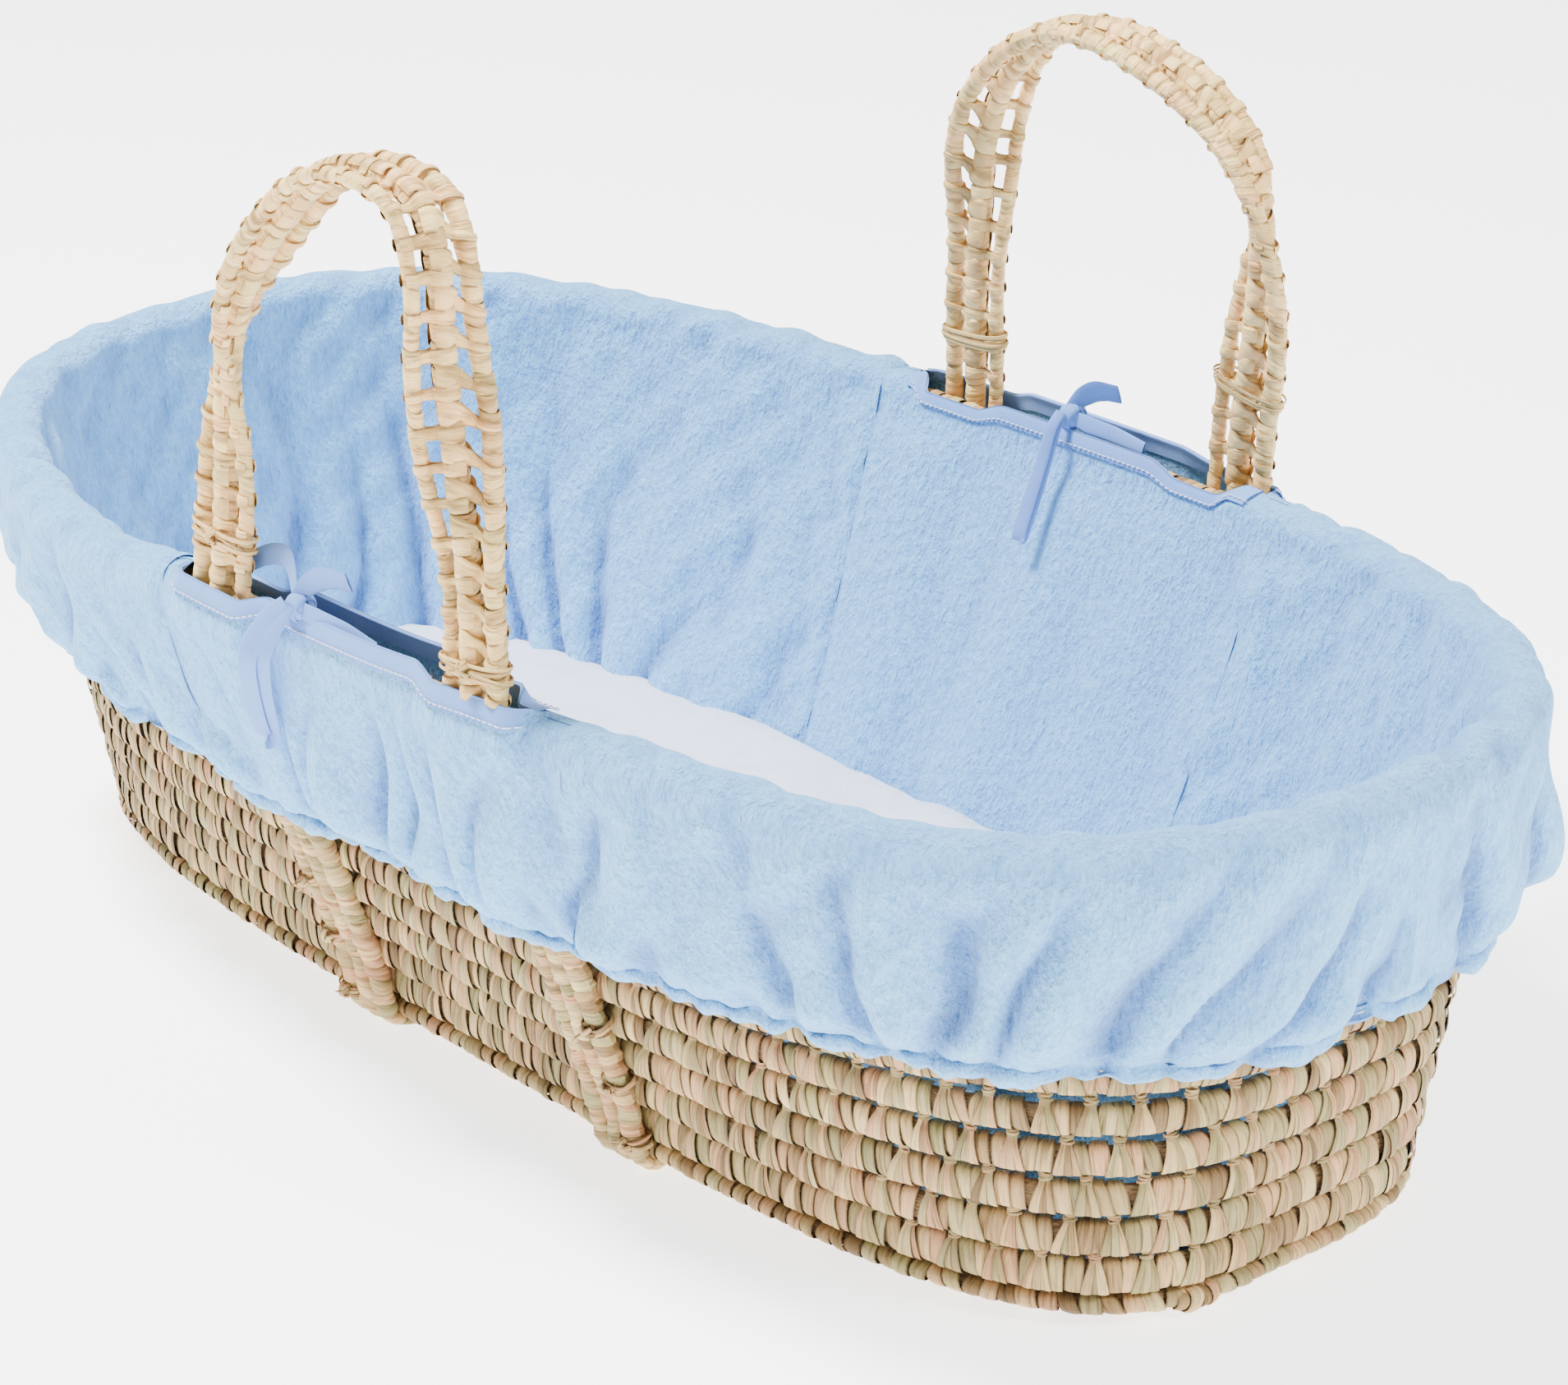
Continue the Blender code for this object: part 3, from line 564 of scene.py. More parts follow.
class Bundle:
    """A closed coil of leaf: place(turn, out, up) gives points on it, and length is its way round."""

    def __init__(self, place, length, half_height, half_thickness):
        self.place = place
        self.length = length
        self.half_height = half_height
        self.half_thickness = half_thickness

    def patches(self, centre, out, up, lift_out, lift_up, a, widths, bulge, shingle):
        """Leaf patches. centre is in metres along the coil; out, up, a and widths are (patches, along)."""
        u = np.linspace(-1, 1, ACROSS)
        across = a[..., None] + u * widths[..., None] / 2
        narrow = np.clip(widths[..., None] / 0.005, 0.35, 1.0)
        lift = (bulge[:, None, None] * (1 - u * u) + shingle[:, None, None] * u) * narrow
        turn = (centre[:, None, None] + across) / self.length
        return self.place(
            turn, out[..., None] + lift * lift_out[..., None], up[..., None] + lift * lift_up[..., None]
        )


def row_half_height(index):
    """The upper rows are slimmer, with open gaps between them."""
    return ROW_HALF_HEIGHTS[min(index, len(ROW_HALF_HEIGHTS) - 1)]


def wall_bundle(index):
    level = index / WALL_ROWS
    sizes = RIM_HALF_SIZES if index == WALL_ROWS else (row_half_height(index), ROW_THICKNESS / 2)
    return Bundle(lambda turn, out, up: wall(turn, level, out, up), perimeter(level), *sizes)


def base_bundle(index):
    inset = BASE_FIRST_INSET + index * BASE_ROW_PITCH + BASE_ROW_WIDTH / 2
    plan, along = oval_table(BASE_HALF_LENGTH - inset, BASE_HALF_WIDTH - inset, BASE_SQUARENESS)
    length = float(np.linalg.norm(np.diff(plan, axis=0), axis=1).sum())

    def place(turn, out, up):
        turn, out, up = np.broadcast_arrays(turn, out, up)
        direction = look_up(along, turn)
        normal = np.stack([direction[..., 1], -direction[..., 0]], axis=-1)
        flat = look_up(plan, turn) + normal * out[..., None]
        return np.concatenate([flat, (BASE_HEIGHT + up)[..., None]], -1)

    return Bundle(place, length, ROW_THICKNESS / 2, BASE_ROW_WIDTH / 2 - 0.0003)


def plain_wraps(name, bundle, centre, size, slant, random, sweep=(112, -112)):
    """Upright wraps round a bundle. Each is a little slanted, and laps over its neighbour."""
    angle = np.radians(np.linspace(*sweep, 13))
    cosine, sine = np.cos(angle), np.sin(angle)
    out = bundle.half_thickness * squared(cosine, 0.8)
    up = bundle.half_height * squared(sine, 0.8)
    count = len(centre)
    dent = random.uniform(0.94, 1.06, (count, 1))
    points = bundle.patches(
        centre, out * dent, up * dent, cosine + 0 * dent, 0.25 * sine + 0 * dent,
        -slant[:, None] * sine, size[:, None] * (1 - 0.10 * np.abs(sine) ** 4),
        random.uniform(0.0005, 0.0011, count), random.uniform(0.0002, 0.0007, count),
    )
    return grid_mesh(name, points, leaf_tones(random, count), (1.0, 0.04))


def fan_pleats(name, bundle, tie, gap, random):
    """Pleats gathered at the tie in the gap above, spreading down over the face of the row."""
    high, thick = bundle.half_height, bundle.half_thickness
    up = np.array([
        high + gap + 0.0034, high + gap + 0.0004, high + 0.3 * gap, 0.92 * high, 0.70 * high, 0.35 * high,
        -0.10 * high, -0.5 * high, -0.84 * high, -1.0 * high, -1.02 * high,
    ])
    out = thick * np.array([0.98, 0.62, 0.50, 0.72, 1.0, 1.16, 1.16, 1.08, 0.86, 0.45, -0.1])
    spread = smooth((np.linspace(0, 1, len(up)) - 0.20) / 0.62)
    count = len(tie) * FAN_PLEATS
    slot = np.tile(np.arange(FAN_PLEATS) - (FAN_PLEATS - 1) / 2, len(tie))
    reach = random.uniform(0.0030, 0.0042, count)[:, None]
    lean = np.repeat(jitter(random, 0.0018, len(tie)), FAN_PLEATS)[:, None]
    a = slot[:, None] * (0.0010 + (reach - 0.0010) * spread) + lean * spread
    width = 0.0026 + (random.uniform(0.0036, 0.0050, count)[:, None] - 0.0026) * spread
    one = np.ones((count, len(up)))
    points = bundle.patches(
        np.repeat(tie, FAN_PLEATS), (out + random.uniform(0.0002, 0.0009, (count, 1))) * one, up * one,
        one, 0 * one, a, width, random.uniform(0.0004, 0.0008, count), jitter(random, 4e-4, count),
    )
    return grid_mesh(name, points, leaf_tones(random, count, 0.15), (1.0, 0.03))


def tie_pinches(name, bundle, tie, gap, random):
    """Fine fibres that draw each tie together, lying across it in the gap between rows."""
    strands = 3
    count = len(tie) * strands
    rise = np.tile(np.linspace(-0.0012, 0.0016, strands), len(tie)) + jitter(random, 3e-4, count)
    along = np.linspace(-1, 1, 7)
    half = random.uniform(0.0024, 0.0034, count)[:, None]
    turn = (np.repeat(tie, strands)[:, None] + half * along) / bundle.length
    out = bundle.half_thickness * 0.62 + 0.0022 * np.sqrt(np.clip(1 - along ** 2, 0, 1)) - 0.0006
    up = bundle.half_height + 0.5 * gap + rise[:, None] + jitter(random, 8e-4, (count, 1)) * along
    v = np.linspace(-1, 1, 3)
    thick = 0.0007
    points = bundle.place(
        turn[..., None] + 0 * v, out[None, :, None] + thick * 0.5 * (1 - v * v), up[..., None] + thick * v
    )
    return grid_mesh(name, points, leaf_tones(random, count, 0.5), (1.0, 0.0015))


def bundle_core_mesh(name, bundle):
    turns = np.linspace(0, 1, 361)[:, None]
    angle = circle(13)[None]
    out = 0.74 * bundle.half_thickness * np.cos(angle)
    points = bundle.place(turns, out, 0.86 * bundle.half_height * np.sin(angle))
    core = grid_mesh(name, points[None], np.array([[0.02, 0.0, 0.5]]), (2.0, 0.05))
    core.data.materials.append(CORE)
    return core


def row_gap(index):
    """The open height between a row and the one above it."""
    return ROW_PITCH - row_half_height(index) - row_half_height(index + 1)


def build_wall_row(index, name):
    random = seeded(100 + index)
    bundle = wall_bundle(index)
    ties = int(round(bundle.length / TIE_SPACING))
    pitch = bundle.length / ties
    tie = (np.arange(ties) + 0.33 * (index % 3)) * pitch + jitter(random, 0.0022, ties)
    offsets = (0.31, 0.66) if index < OPEN_ROWS else (0.0, 0.31, 0.66)
    centre = np.concatenate([tie + pitch * o + jitter(random, 8e-4, ties) for o in offsets])
    count = len(centre)
    parts = [
        plain_wraps(
            f"{name}_wraps", bundle, centre, random.uniform(0.0070, 0.0092, count),
            random.uniform(-0.0012, 0.0026, count), random,
        )
    ]
    if index < OPEN_ROWS:
        parts.append(fan_pleats(f"{name}_fans", bundle, tie, row_gap(index), random))
        parts.append(tie_pinches(f"{name}_pinches", bundle, tie, row_gap(index), random))
    return coil(name, parts, bundle)


def coil_end(name, random):
    """The end of the coil, bound down at the foot end's lower edge."""
    count = 12
    span = np.linspace(-0.5, 0.5, count) * COIL_END_LENGTH / RIM_LENGTH
    turns = turn_at(COIL_END_X, -1.0, 0.0) + span
    taper = np.sin(np.linspace(0.35, math.pi - 0.35, count))[:, None] ** 0.5
    centres = wall(turns, 0.0, COIL_END_OUT, COIL_END_HEIGHT - FIRST_ROW_HEIGHT)
    outward = unit(wall(turns, 0.0, 0.02) - wall(turns, 0.0, 0.0))
    upright = np.tile([0.0, 0.0, 1.0], (count, 1))
    path = Path(centres, upright, outward, taper * np.array([COIL_END_HALF_SIZES]))
    return wound_leaf(f"{name}_end", path, 0.0, path.length - 0.003, random, 0.0055, rough=0.14)


def build_base_row(index, name):
    random = seeded(200 + index)
    bundle = base_bundle(index)
    count = int(bundle.length / 0.0082)
    centre = np.arange(count) * bundle.length / count + jitter(random, 8e-4, count)
    size, slant = random.uniform(0.0078, 0.0098, count), random.uniform(-0.0012, 0.0030, count)
    leaves = [plain_wraps(f"{name}_wraps", bundle, centre, size, slant, random, (178, -182))]
    if index == 0:
        leaves.append(coil_end(name, random))
    return coil(name, leaves, bundle)


def coil(name, leaves, bundle):
    """Joins a coil's leaves and its core, which keep their own materials."""
    for leaf in leaves:
        leaf.data.materials.append(PALM)
    whole = joined(name, [*leaves, bundle_core_mesh(f"{name}_core", bundle)])
    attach(whole, "basket")
    return whole


def build_basket_body():
    for index in range(WALL_ROWS):
        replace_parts(build_wall_row(index, f"row_{index + 1:02d}"), f"wall_row_{index + 1:02d}")
    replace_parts(build_wall_row(WALL_ROWS, "rim_row"), "rim_coil")
    for index in range(BASE_ROWS):
        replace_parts(build_base_row(index, f"floor_row_{index + 1}"), f"base_row_{index + 1}")
    build_base_centre()


def build_base_centre():
    """The coil's start: a straight doubled bundle along the middle of the base."""
    random = seeded(300)
    half_length, half_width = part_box("base_centre")[1][:2]
    x = np.linspace(-half_length, half_length, 60)
    parts = []
    for side in (-0.5, 0.5):
        centres = np.stack([x, 0 * x + side * half_width, 0 * x + BASE_HEIGHT], -1)
        across = np.tile([0.0, 1.0, 0.0], (len(x), 1))
        through = np.tile([0.0, 0.0, 1.0], (len(x), 1))
        sizes = np.tile([half_width / 2, ROW_THICKNESS / 2 - 0.0004], (len(x), 1))
        path = Path(centres, across, through, sizes)
        parts.append(wound_leaf(f"centre_{side}", path, 0.0, path.length - 0.009, random))
    finish_piece(joined("floor_centre", parts), PALM, "palm_weave", "base_centre")


# ---- straps and handles --------------------------------------------------------------------

PIVOT_Y = 0.2298
PIVOT_Z = 0.2325
HANDLE_LEANS = {"near": math.radians(-3.0), "far": math.radians(-1.2)}
ROOT_HALF_SPAN = 0.092
# Each arch, head root to foot root: distance along the basket from its middle, and height over the hinge.
ARCHES = {
    "near": (
        (-ROOT_HALF_SPAN, 0.0), (-0.0875, 0.045), (-0.0865, 0.090), (-0.084, 0.122), (-0.072, 0.153),
        (-0.045, 0.188), (-0.012, 0.216), (0.022, 0.224), (0.051, 0.218), (0.064, 0.194), (0.069, 0.158),
        (0.0785, 0.115), (0.088, 0.070), (0.092, 0.030), (ROOT_HALF_SPAN, 0.0),
    ),
    "far": (
        (-ROOT_HALF_SPAN, 0.0), (-0.0935, 0.040), (-0.0925, 0.081), (-0.091, 0.118), (-0.083, 0.146),
        (-0.067, 0.170), (-0.040, 0.188), (-0.005, 0.192), (0.038, 0.182), (0.070, 0.165), (0.088, 0.146),
        (0.097, 0.122), (0.0985, 0.093), (0.0965, 0.060), (0.093, 0.028), (ROOT_HALF_SPAN, 0.0),
    ),
}
STRANDS = {"thick": 0.0088, "middle": 0.0100, "thin": 0.0068}
OFFSETS = {"thick": 0.0146, "middle": -0.0013, "thin": -0.0158}
TWIST_START = 0.055
TWIST_END = 0.19
STRAP_OUT = 0.0096
STRAP_OFFSETS = (0.0112, 0.0, -0.0112)
UNDER_STRAP_HEIGHT = 0.0030
STRAP_TOP_LEVEL = 0.84
LEG_TOP_OUT = 0.0118


def strap_places(x, side, levels):
    """Points of a strap lying on the wall, rising past the rim coil."""
    out = np.interp(levels, [0.0, 0.8, 1.0], [STRAP_OUT, STRAP_OUT, LEG_TOP_OUT])
    return np.array([wall(turn_at(x, side, level), level, o) for level, o in zip(levels, out)])


def handle_path(side_name):
    """The band's centreline: up out of the skirt, over the arch and down again, and how it twists."""
    side = SIDES[side_name]
    x, z = spline(ARCHES[side_name]).T
    tangent = unit(np.stack([np.gradient(x), 0 * x, np.gradient(z)], -1))
    arch_out = np.stack([-tangent[:, 2], 0 * x, tangent[:, 0]], -1)
    angle = (math.pi / 2 * smooth((z - TWIST_START) / (TWIST_END - TWIST_START)))[:, None]
    facing = arch_out * np.sin(angle) + np.array([0.0, 1.0, 0.0]) * np.cos(angle)
    lateral = unit(np.cross(tangent, facing))
    places = np.stack([x, 0 * x, z], -1)
    flip = np.array([1.0, side, 1.0])
    turned = [lean(v * flip, HANDLE_LEANS[side_name]) for v in (places, lateral, facing)]
    turned[0] = turned[0] + np.array([sum(LEG_X) / 2, side * PIVOT_Y, PIVOT_Z])
    levels = np.linspace(STRAP_TOP_LEVEL - 0.04, 1.0, 9)
    tails = [strap_places(leg_x, side, levels) for leg_x in LEG_X]
    centres = np.concatenate([tails[0], turned[0], tails[1][::-1]])
    across, through = (np.pad(v, ((len(levels),) * 2, (0, 0)), mode="edge") for v in turned[1:])
    return Path(centres, across, through, np.zeros((len(centres), 2)))


def lean(vectors, angle):
    """Turns vectors about the hinge line."""
    cosine, sine = math.cos(angle), math.sin(angle)
    x, y, z = vectors[:, 0], vectors[:, 1], vectors[:, 2]
    return np.stack([x, y * cosine - z * sine, y * sine + z * cosine], -1)


def build_handle(side_name):
    random = seeded(400 if side_name == "near" else 500)
    body = f"{side_name}_handle"
    band = handle_path(side_name)
    for strand, diameter in STRANDS.items():
        path = band.beside(OFFSETS[strand], [diameter / 2, diameter / 2])
        piece = wound_leaf(f"{side_name}_{strand}_wound", path, 0.0, path.length - 0.009, random)
        piece.data.materials.append(PALM_HANDLE)
        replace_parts(piece, f"{body}_{strand}_strand")
        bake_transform(piece)
    build_ladder(side_name, band, random)
    build_lashings(side_name, band, random)


RUNG_PITCH = 0.0158
RUNGS_START = 0.062
LEAF_LAP = 0.0007


def build_ladder(side_name, band, random):
    """Leaf rungs between the strands: a ladder beside the thin one, slanted leaves beside the thick."""
    places = np.arange(RUNGS_START, band.length - RUNGS_START, RUNG_PITCH)
    places = places + jitter(random, 0.0012, len(places))
    body = f"{side_name}_handle"
    for name, node, shift, strand, slant, half_widths in (
        ("ladder", "narrow_lacing", 0.0, "thin", 0.0, (0.0042, 0.0025)),
        ("slanted", "wide_lacing", RUNG_PITCH / 2, "thick", 0.0095, (0.0056, 0.0017)),
    ):
        piece = rungs(f"{side_name}_{name}", band, places + shift, strand, slant, half_widths, random)
        finish_piece(piece, PALM_HANDLE, "palm_handle", f"{body}_{node}", body=body)


def rungs(name, band, places, two, slant, half_widths, random):
    """Leaves that lap over the middle strand, cross the window and lap over the other, front and back."""
    one = "middle"
    count = len(places)
    t = np.linspace(0, 1, 25)
    side = math.copysign(1.0, OFFSETS[two] - OFFSETS[one])
    radii = {strand: STRANDS[strand] / 2 for strand in (one, two)}
    first, last = OFFSETS[one] - side * 0.92 * radii[one], OFFSETS[two] + side * 0.92 * radii[two]
    offset = first + (last - first) * t
    over = [np.sqrt(np.clip(radii[k] ** 2 - (offset - OFFSETS[k]) ** 2, 0, None)) for k in (one, two)]
    rise = np.maximum(*over) + LEAF_LAP
    half = half_widths[0] + (half_widths[1] - half_widths[0]) * smooth(1.15 * t - 0.1)
    half = half * random.uniform(0.88, 1.12, (count, 1)) * (1 - 0.20 * np.exp(-((t - 0.55) / 0.16) ** 2))
    made = []
    for face in (1.0, -1.0):
        s = places[:, None] + slant * smooth(t) + jitter(random, 0.0008, (count, 1)) * t
        centre, across, through, _, _ = band.at(np.clip(s, 0, band.length))
        centre = centre + across * offset[:, None] + through * (face * rise)[:, None]
        line = unit(np.gradient(centre, axis=1))
        along = unit(np.cross(line, through + 0 * line))
        thick = np.full(half.shape, LEAF_LAP)
        tones = leaf_tones(random, count, 0.2)
        made.append(tube(f"{name}_{face}", centre, along, np.cross(along, line), half, thick, tones))
    return joined(name, made)


LASHING_HEIGHTS = {"near": {"head": 0.088, "foot": 0.080}, "far": {"head": 0.081, "foot": 0.100}}


def build_lashings(side_name, band, random):
    half = (OFFSETS["thick"] + STRANDS["thick"] / 2 - OFFSETS["thin"] + STRANDS["thin"] / 2) / 2
    middle = OFFSETS["thick"] + STRANDS["thick"] / 2 - half
    for end in ("head", "foot"):
        height = LASHING_HEIGHTS[side_name][end]
        s = height if end == "head" else band.length - height
        name = f"{side_name}_raffia_{end}"
        parts = lashing(name, band, s, 4, 0.0017, half + 0.0006, 0.0060, random, middle)
        body = f"{side_name}_handle"
        finish_piece(joined(name, parts), RAFFIA, "raffia", f"{body}_lashing_{end}", body=body)


def strap_path(x):
    """One leg's strap: down the far wall, under the base and up the near wall."""
    levels = np.linspace(STRAP_TOP_LEVEL, 0.06, 30)
    far = strap_places(x, 1.0, levels)
    bend = wall(turn_at(x, 1.0, 0.0), 0.0, STRAP_OUT)
    corner = [
        bend + np.array([0, 0.0, -0.008]), np.array([x, bend[1] - 0.0025, 0.0080]),
        np.array([x, bend[1] - 0.0095, UNDER_STRAP_HEIGHT]),
    ]
    flat = [np.array([x, y, UNDER_STRAP_HEIGHT]) for y in np.linspace(bend[1] - 0.03, 0, 6)]
    flip = np.array([1.0, -1.0, 1.0])
    centres = spline([*far, *corner, *flat], 4)
    centres = np.concatenate([centres, centres[-2::-1] * flip])
    across = np.tile([-1.0, 0.0, 0.0], (len(centres), 1)) * (-1.0 if x > sum(LEG_X) / 2 else 1.0)
    line = unit(np.gradient(centres, axis=0))
    through = unit(np.cross(np.tile([1.0, 0.0, 0.0], (len(centres), 1)), line))
    depth = np.clip(centres[:, 2:3] / 0.012, 0, 1)
    sizes = np.concatenate([0 * depth, depth], axis=1)
    return Path(centres, across, through, sizes)


def build_straps():
    for end, x in zip(("head", "foot"), LEG_X):
        random = seeded(600 if end == "head" else 700)
        band = strap_path(x)
        parts = []
        for strand, offset in zip(STRANDS, STRAP_OFFSETS):
            depth = band.rows[:, 10:11]
            sizes = np.concatenate([0.0054 + 0 * depth, 0.0027 + 0.0022 * depth], axis=1)
            knobs = 0.0011 * np.sin(np.arange(len(depth))[:, None] * 1.7 + 300 * offset)
            path = band.beside(offset + knobs, sizes)
            name = f"strap_{end}_{strand}"
            parts.append(wound_leaf(name, path, 0.0, path.length - 0.009, random, 0.0078, rough=0.10))
        for s in np.arange(0.11, 0.19, 0.034):
            for place in (s, band.length - s):
                name = f"tie_{end}_{place}"
                parts += lashing(name, band, place, 3, 0.0015, 0.0066, 0.0056, random, 0.0118)
        nodes = [f"{place}_strap_{end}" for place in ("near", "far", "under")]
        finish_piece(joined(f"strap_{end}", parts), PALM, "palm_weave", *nodes)


# ---- liner ---------------------------------------------------------------------------------

SEAM_X = (-0.110, 0.165)
HEM_LEVEL = 0.537
BOW_X = {"near": -0.002, "far": 0.020}
LEVEL_RISE = 0.19
CLOTH_SPACING = 0.0028
# Profiles down the cloth: (level on the wall, distance out from the rows, height above that place).
INNER_PROFILE = [
    (-0.040, -0.0090, 0), (0.10, -0.0088, 0), (0.35, -0.0082, 0), (0.65, -0.0084, 0), (0.90, -0.0096, 0),
    (1.0, -0.0108, 0.001),
]
ROLL_PROFILE = [
    (1.0, -0.0090, 0.0095), (1.0, -0.0012, 0.0152), (1.0, 0.0078, 0.0146), (1.0, 0.0145, 0.0085),
]
LIP_PROFILE = [(1.0, -0.0100, 0.0075), (1.0, -0.0088, 0.0128), (1.0, -0.0070, 0.0178)]
SKIRT_PROFILE = [
    (0.98, 0.0172, 0), (0.85, 0.0182, 0), (0.70, 0.0182, 0), (0.62, 0.0176, 0), (0.582, 0.0166, 0),
    (0.566, 0.0144, 0), (0.553, 0.0172, 0), (0.539, 0.0168, 0), (0.532, 0.0142, 0), (0.540, 0.0124, 0),
    (0.575, 0.0120, 0),
]
SKIRT_TOP = [(1.0, 0.0132, 0.0190), (1.0, 0.0150, 0.0125)]
CLOSED_LIP = [(1.0, -0.0090, 0.0095), (1.0, -0.0048, 0.0135), (1.0, 0.0042, 0.0157)]
CLOSED_TOP = [(1.0, 0.0022, 0.0156), (1.0, 0.0112, 0.0122)]


def waves(a, s, random, count, across, along):
    """A smooth random field of about unit height, of waves this long across and along the cloth."""
    total = 0.0
    for _ in range(count):
        turn_rate = 2 * math.pi / (across * random.uniform(0.6, 1.7))
        rate = 2 * math.pi / (along * random.uniform(0.6, 1.7)) * random.choice([-1, 1])
        total = total + np.cos(a * turn_rate + s * rate + random.uniform(0, 2 * math.pi))
    return total / math.sqrt(count / 2)


def above_neighbours(stand, reach=8):
    """How far each point stands out past the average of its neighbours along the rim."""
    padded = np.pad(stand, ((reach + 1, reach), (0, 0)), mode="edge")
    total = np.cumsum(padded, axis=0)
    return stand - (total[2 * reach + 1:] - total[:-2 * reach - 1]) / (2 * reach + 1)


class Cloth:
    """A cloth over the wall. stand(turn, s) gives how far it stands off its profile, and how far it
    is raised. Past the ends of its slit it follows the closed profile instead."""

    def __init__(self, profile, stand, closed=None, slit=None):
        curve = spline(profile)
        self.slit = slit
        self.closed = None if closed is None else spline(closed)
        steps = np.hypot(np.diff(curve[:, 0]) * LEVEL_RISE + np.diff(curve[:, 2]), np.diff(curve[:, 1]))
        self.run = np.concatenate([[0.0], np.cumsum(steps)])
        self.length = float(self.run[-1])
        self.curve = curve
        self.stand = stand

    def flat(self, turn, s):
        place = [np.interp(s, self.run, column) for column in self.curve.T]
        if self.closed is not None:
            share = closing(rim_x(turn), self.slit)
            shut = [np.interp(s, self.run, column) for column in self.closed.T]
            place = [a + (b - a) * share for a, b in zip(place, shut)]
        return wall(turn, *place)

    def at(self, turn, s, lift=0.0):
        step = 0.0012
        turn, s = np.broadcast_arrays(turn, s)
        down = self.flat(turn, s + step) - self.flat(turn, s - step)
        round_wall = self.flat(turn + step / RIM_LENGTH, s) - self.flat(turn - step / RIM_LENGTH, s)
        normal = unit(np.cross(down, round_wall))
        stand, drop = self.stand(turn, s)
        points = self.flat(turn, s) + normal * (stand + lift)[..., None]
        points[..., 2] += drop
        return points, normal

    def mesh(self, name, start, end, lift=0.0):
        turns = np.linspace(start, end, int(abs(end - start) * RIM_LENGTH / CLOTH_SPACING) + 2)
        s = np.linspace(0.0, self.length, int(self.length / CLOTH_SPACING) + 2)
        points, _ = self.at(turns[:, None], s[None], lift)
        obj = grid_mesh(name, points[None], PLAIN_TONE, (self.length, 1.0))
        # How far each point stands past its neighbours, kept on the mesh for the fleece's painted shade in
        # the fold hollows and painted highlight on the crests.
        fold_shade = np.clip(0.5 + above_neighbours(self.stand(turns[:, None], s[None])[0]) / FOLD_DEPTH, 0, 1)
        field = obj.data.attributes.new("fold_shade", "FLOAT", "POINT")
        field.data.foreach_set("value", fold_shade.reshape(-1).astype(np.float32))
        return obj


def inner_folds(a, s):
    """Nearly smooth inside, but gathered toward the mattress on the head panel."""
    random = seeded(30)
    x = rim_x(a / RIM_LENGTH)
    head_panel = smooth((SEAM_X[0] - 0.012 - x) / 0.05)
    soft = np.maximum(0.0016 + 0.0016 * waves(a, s, random, 6, 0.11, 0.7), -0.0006)
    wobble = waves(a, s, random, 5, 0.30, 0.5)
    pleat = np.abs(np.sin(math.pi * a / 0.044 + 1.3 * wobble)) ** 0.75
    low = 1 - smooth((s - 0.02) / 0.16)
    upper = 1 - smooth((s - 0.10) / 0.08)
    gathers = head_panel * pleat * (0.0085 * low ** 1.3 + 0.0020 * upper)
    return soft + gathers + 0.0010 * low + 0.0003 * waves(a, s, random, 8, 0.05, 0.10)


def skirt_folds(turn, s, hem_start, hem_end):
    """Puffy gathers: broad near the rim, closer and deeper toward the elastic and the foot end."""
    random = seeded(32)
    a = rim_run(turn)
    s, hem_start = s - hem_end, hem_start - hem_end
    amount = 0.62 + 0.38 * smooth((rim_x(turn) + 0.06) / 0.14)
    wobble = waves(a, s, random, 5, 0.34, 0.30)
    share = smooth((s - hem_start) / -hem_start)
    broad = waves(a, s, random, 7, 0.085, 0.16)
    ridge = np.sin(math.pi * a / 0.044 + 1.5 * wobble + 0.7 * broad + 9 * s)
    tuck = np.abs(ridge) ** 0.9 - 0.35
    near_hem = smooth((s + 0.022) / 0.018)
    close = np.abs(np.sin(math.pi * a / 0.0145 + 1.9 * wobble)) - 0.3
    soft = 0.0062 * broad * share * (1 - 0.75 * near_hem)
    folds = amount * (soft + 0.0165 * tuck * share * (1 - 0.80 * near_hem))
    deepest = 0.0090 - 0.0070 * scoop(rim_x(turn))
    return np.maximum(folds, -deepest) + 0.0012 * close * near_hem


def hem_scallop(a, s, hem_end):
    scallops = 0.0009 * np.sin(2 * math.pi * a / 0.021 + 3 * np.sin(a * 31))
    return scallops * smooth((s - hem_end + 0.02) / 0.02)


def seam_dip(turn, inside):
    """The narrow valley where an end panel is sewn to a side panel, at the head end of each slit."""
    away = from_seam(turn)
    valley = (0.0007 + 0.0009 * inside) * np.exp(-(away / 0.0026) ** 2)
    return 0.0008 * np.exp(-((away - 0.009) / 0.005) ** 2) - valley


def over_straps(turn, s, start):
    """Where the skirt is pushed out by the straps behind it."""
    x = rim_x(turn)
    return 0.0042 * scoop(x) * smooth((s - start) / 0.02) * (np.abs(wall(turn, 1.0)[..., 1]) > 0.15)


def from_seam(turn):
    """Distance along the rim from each turn to the nearest seam."""
    gaps = [np.abs(np.mod(turn - seam + 0.5, 1.0) - 0.5) for seam in SEAMS]
    return np.minimum.reduce(gaps) * RIM_LENGTH


SEAMS = [turn_at(SEAM_X[0], side) for side in SIDES.values()]
INNER_SLIT_X = (LEG_X[0] - 0.014, LEG_X[1] + 0.004)
OUTER_SLIT_X = (LEG_X[0] - 0.022, LEG_X[1] + 0.020)
OVERLAP = 0.004 / RIM_LENGTH
# The scale from a point's stand past its neighbours to the fleece's painted shade and painted highlight.
FOLD_DEPTH = 0.0095
STITCH_PITCH = 0.0034
STITCH_LIFT = 0.0013
HEM_DEPTH = 0.016


def inner_share(s, inner_length):
    """1 down the inside of the wall, easing to 0 at the crest."""
    return 1 - smooth((s - inner_length + 0.02) / 0.02)


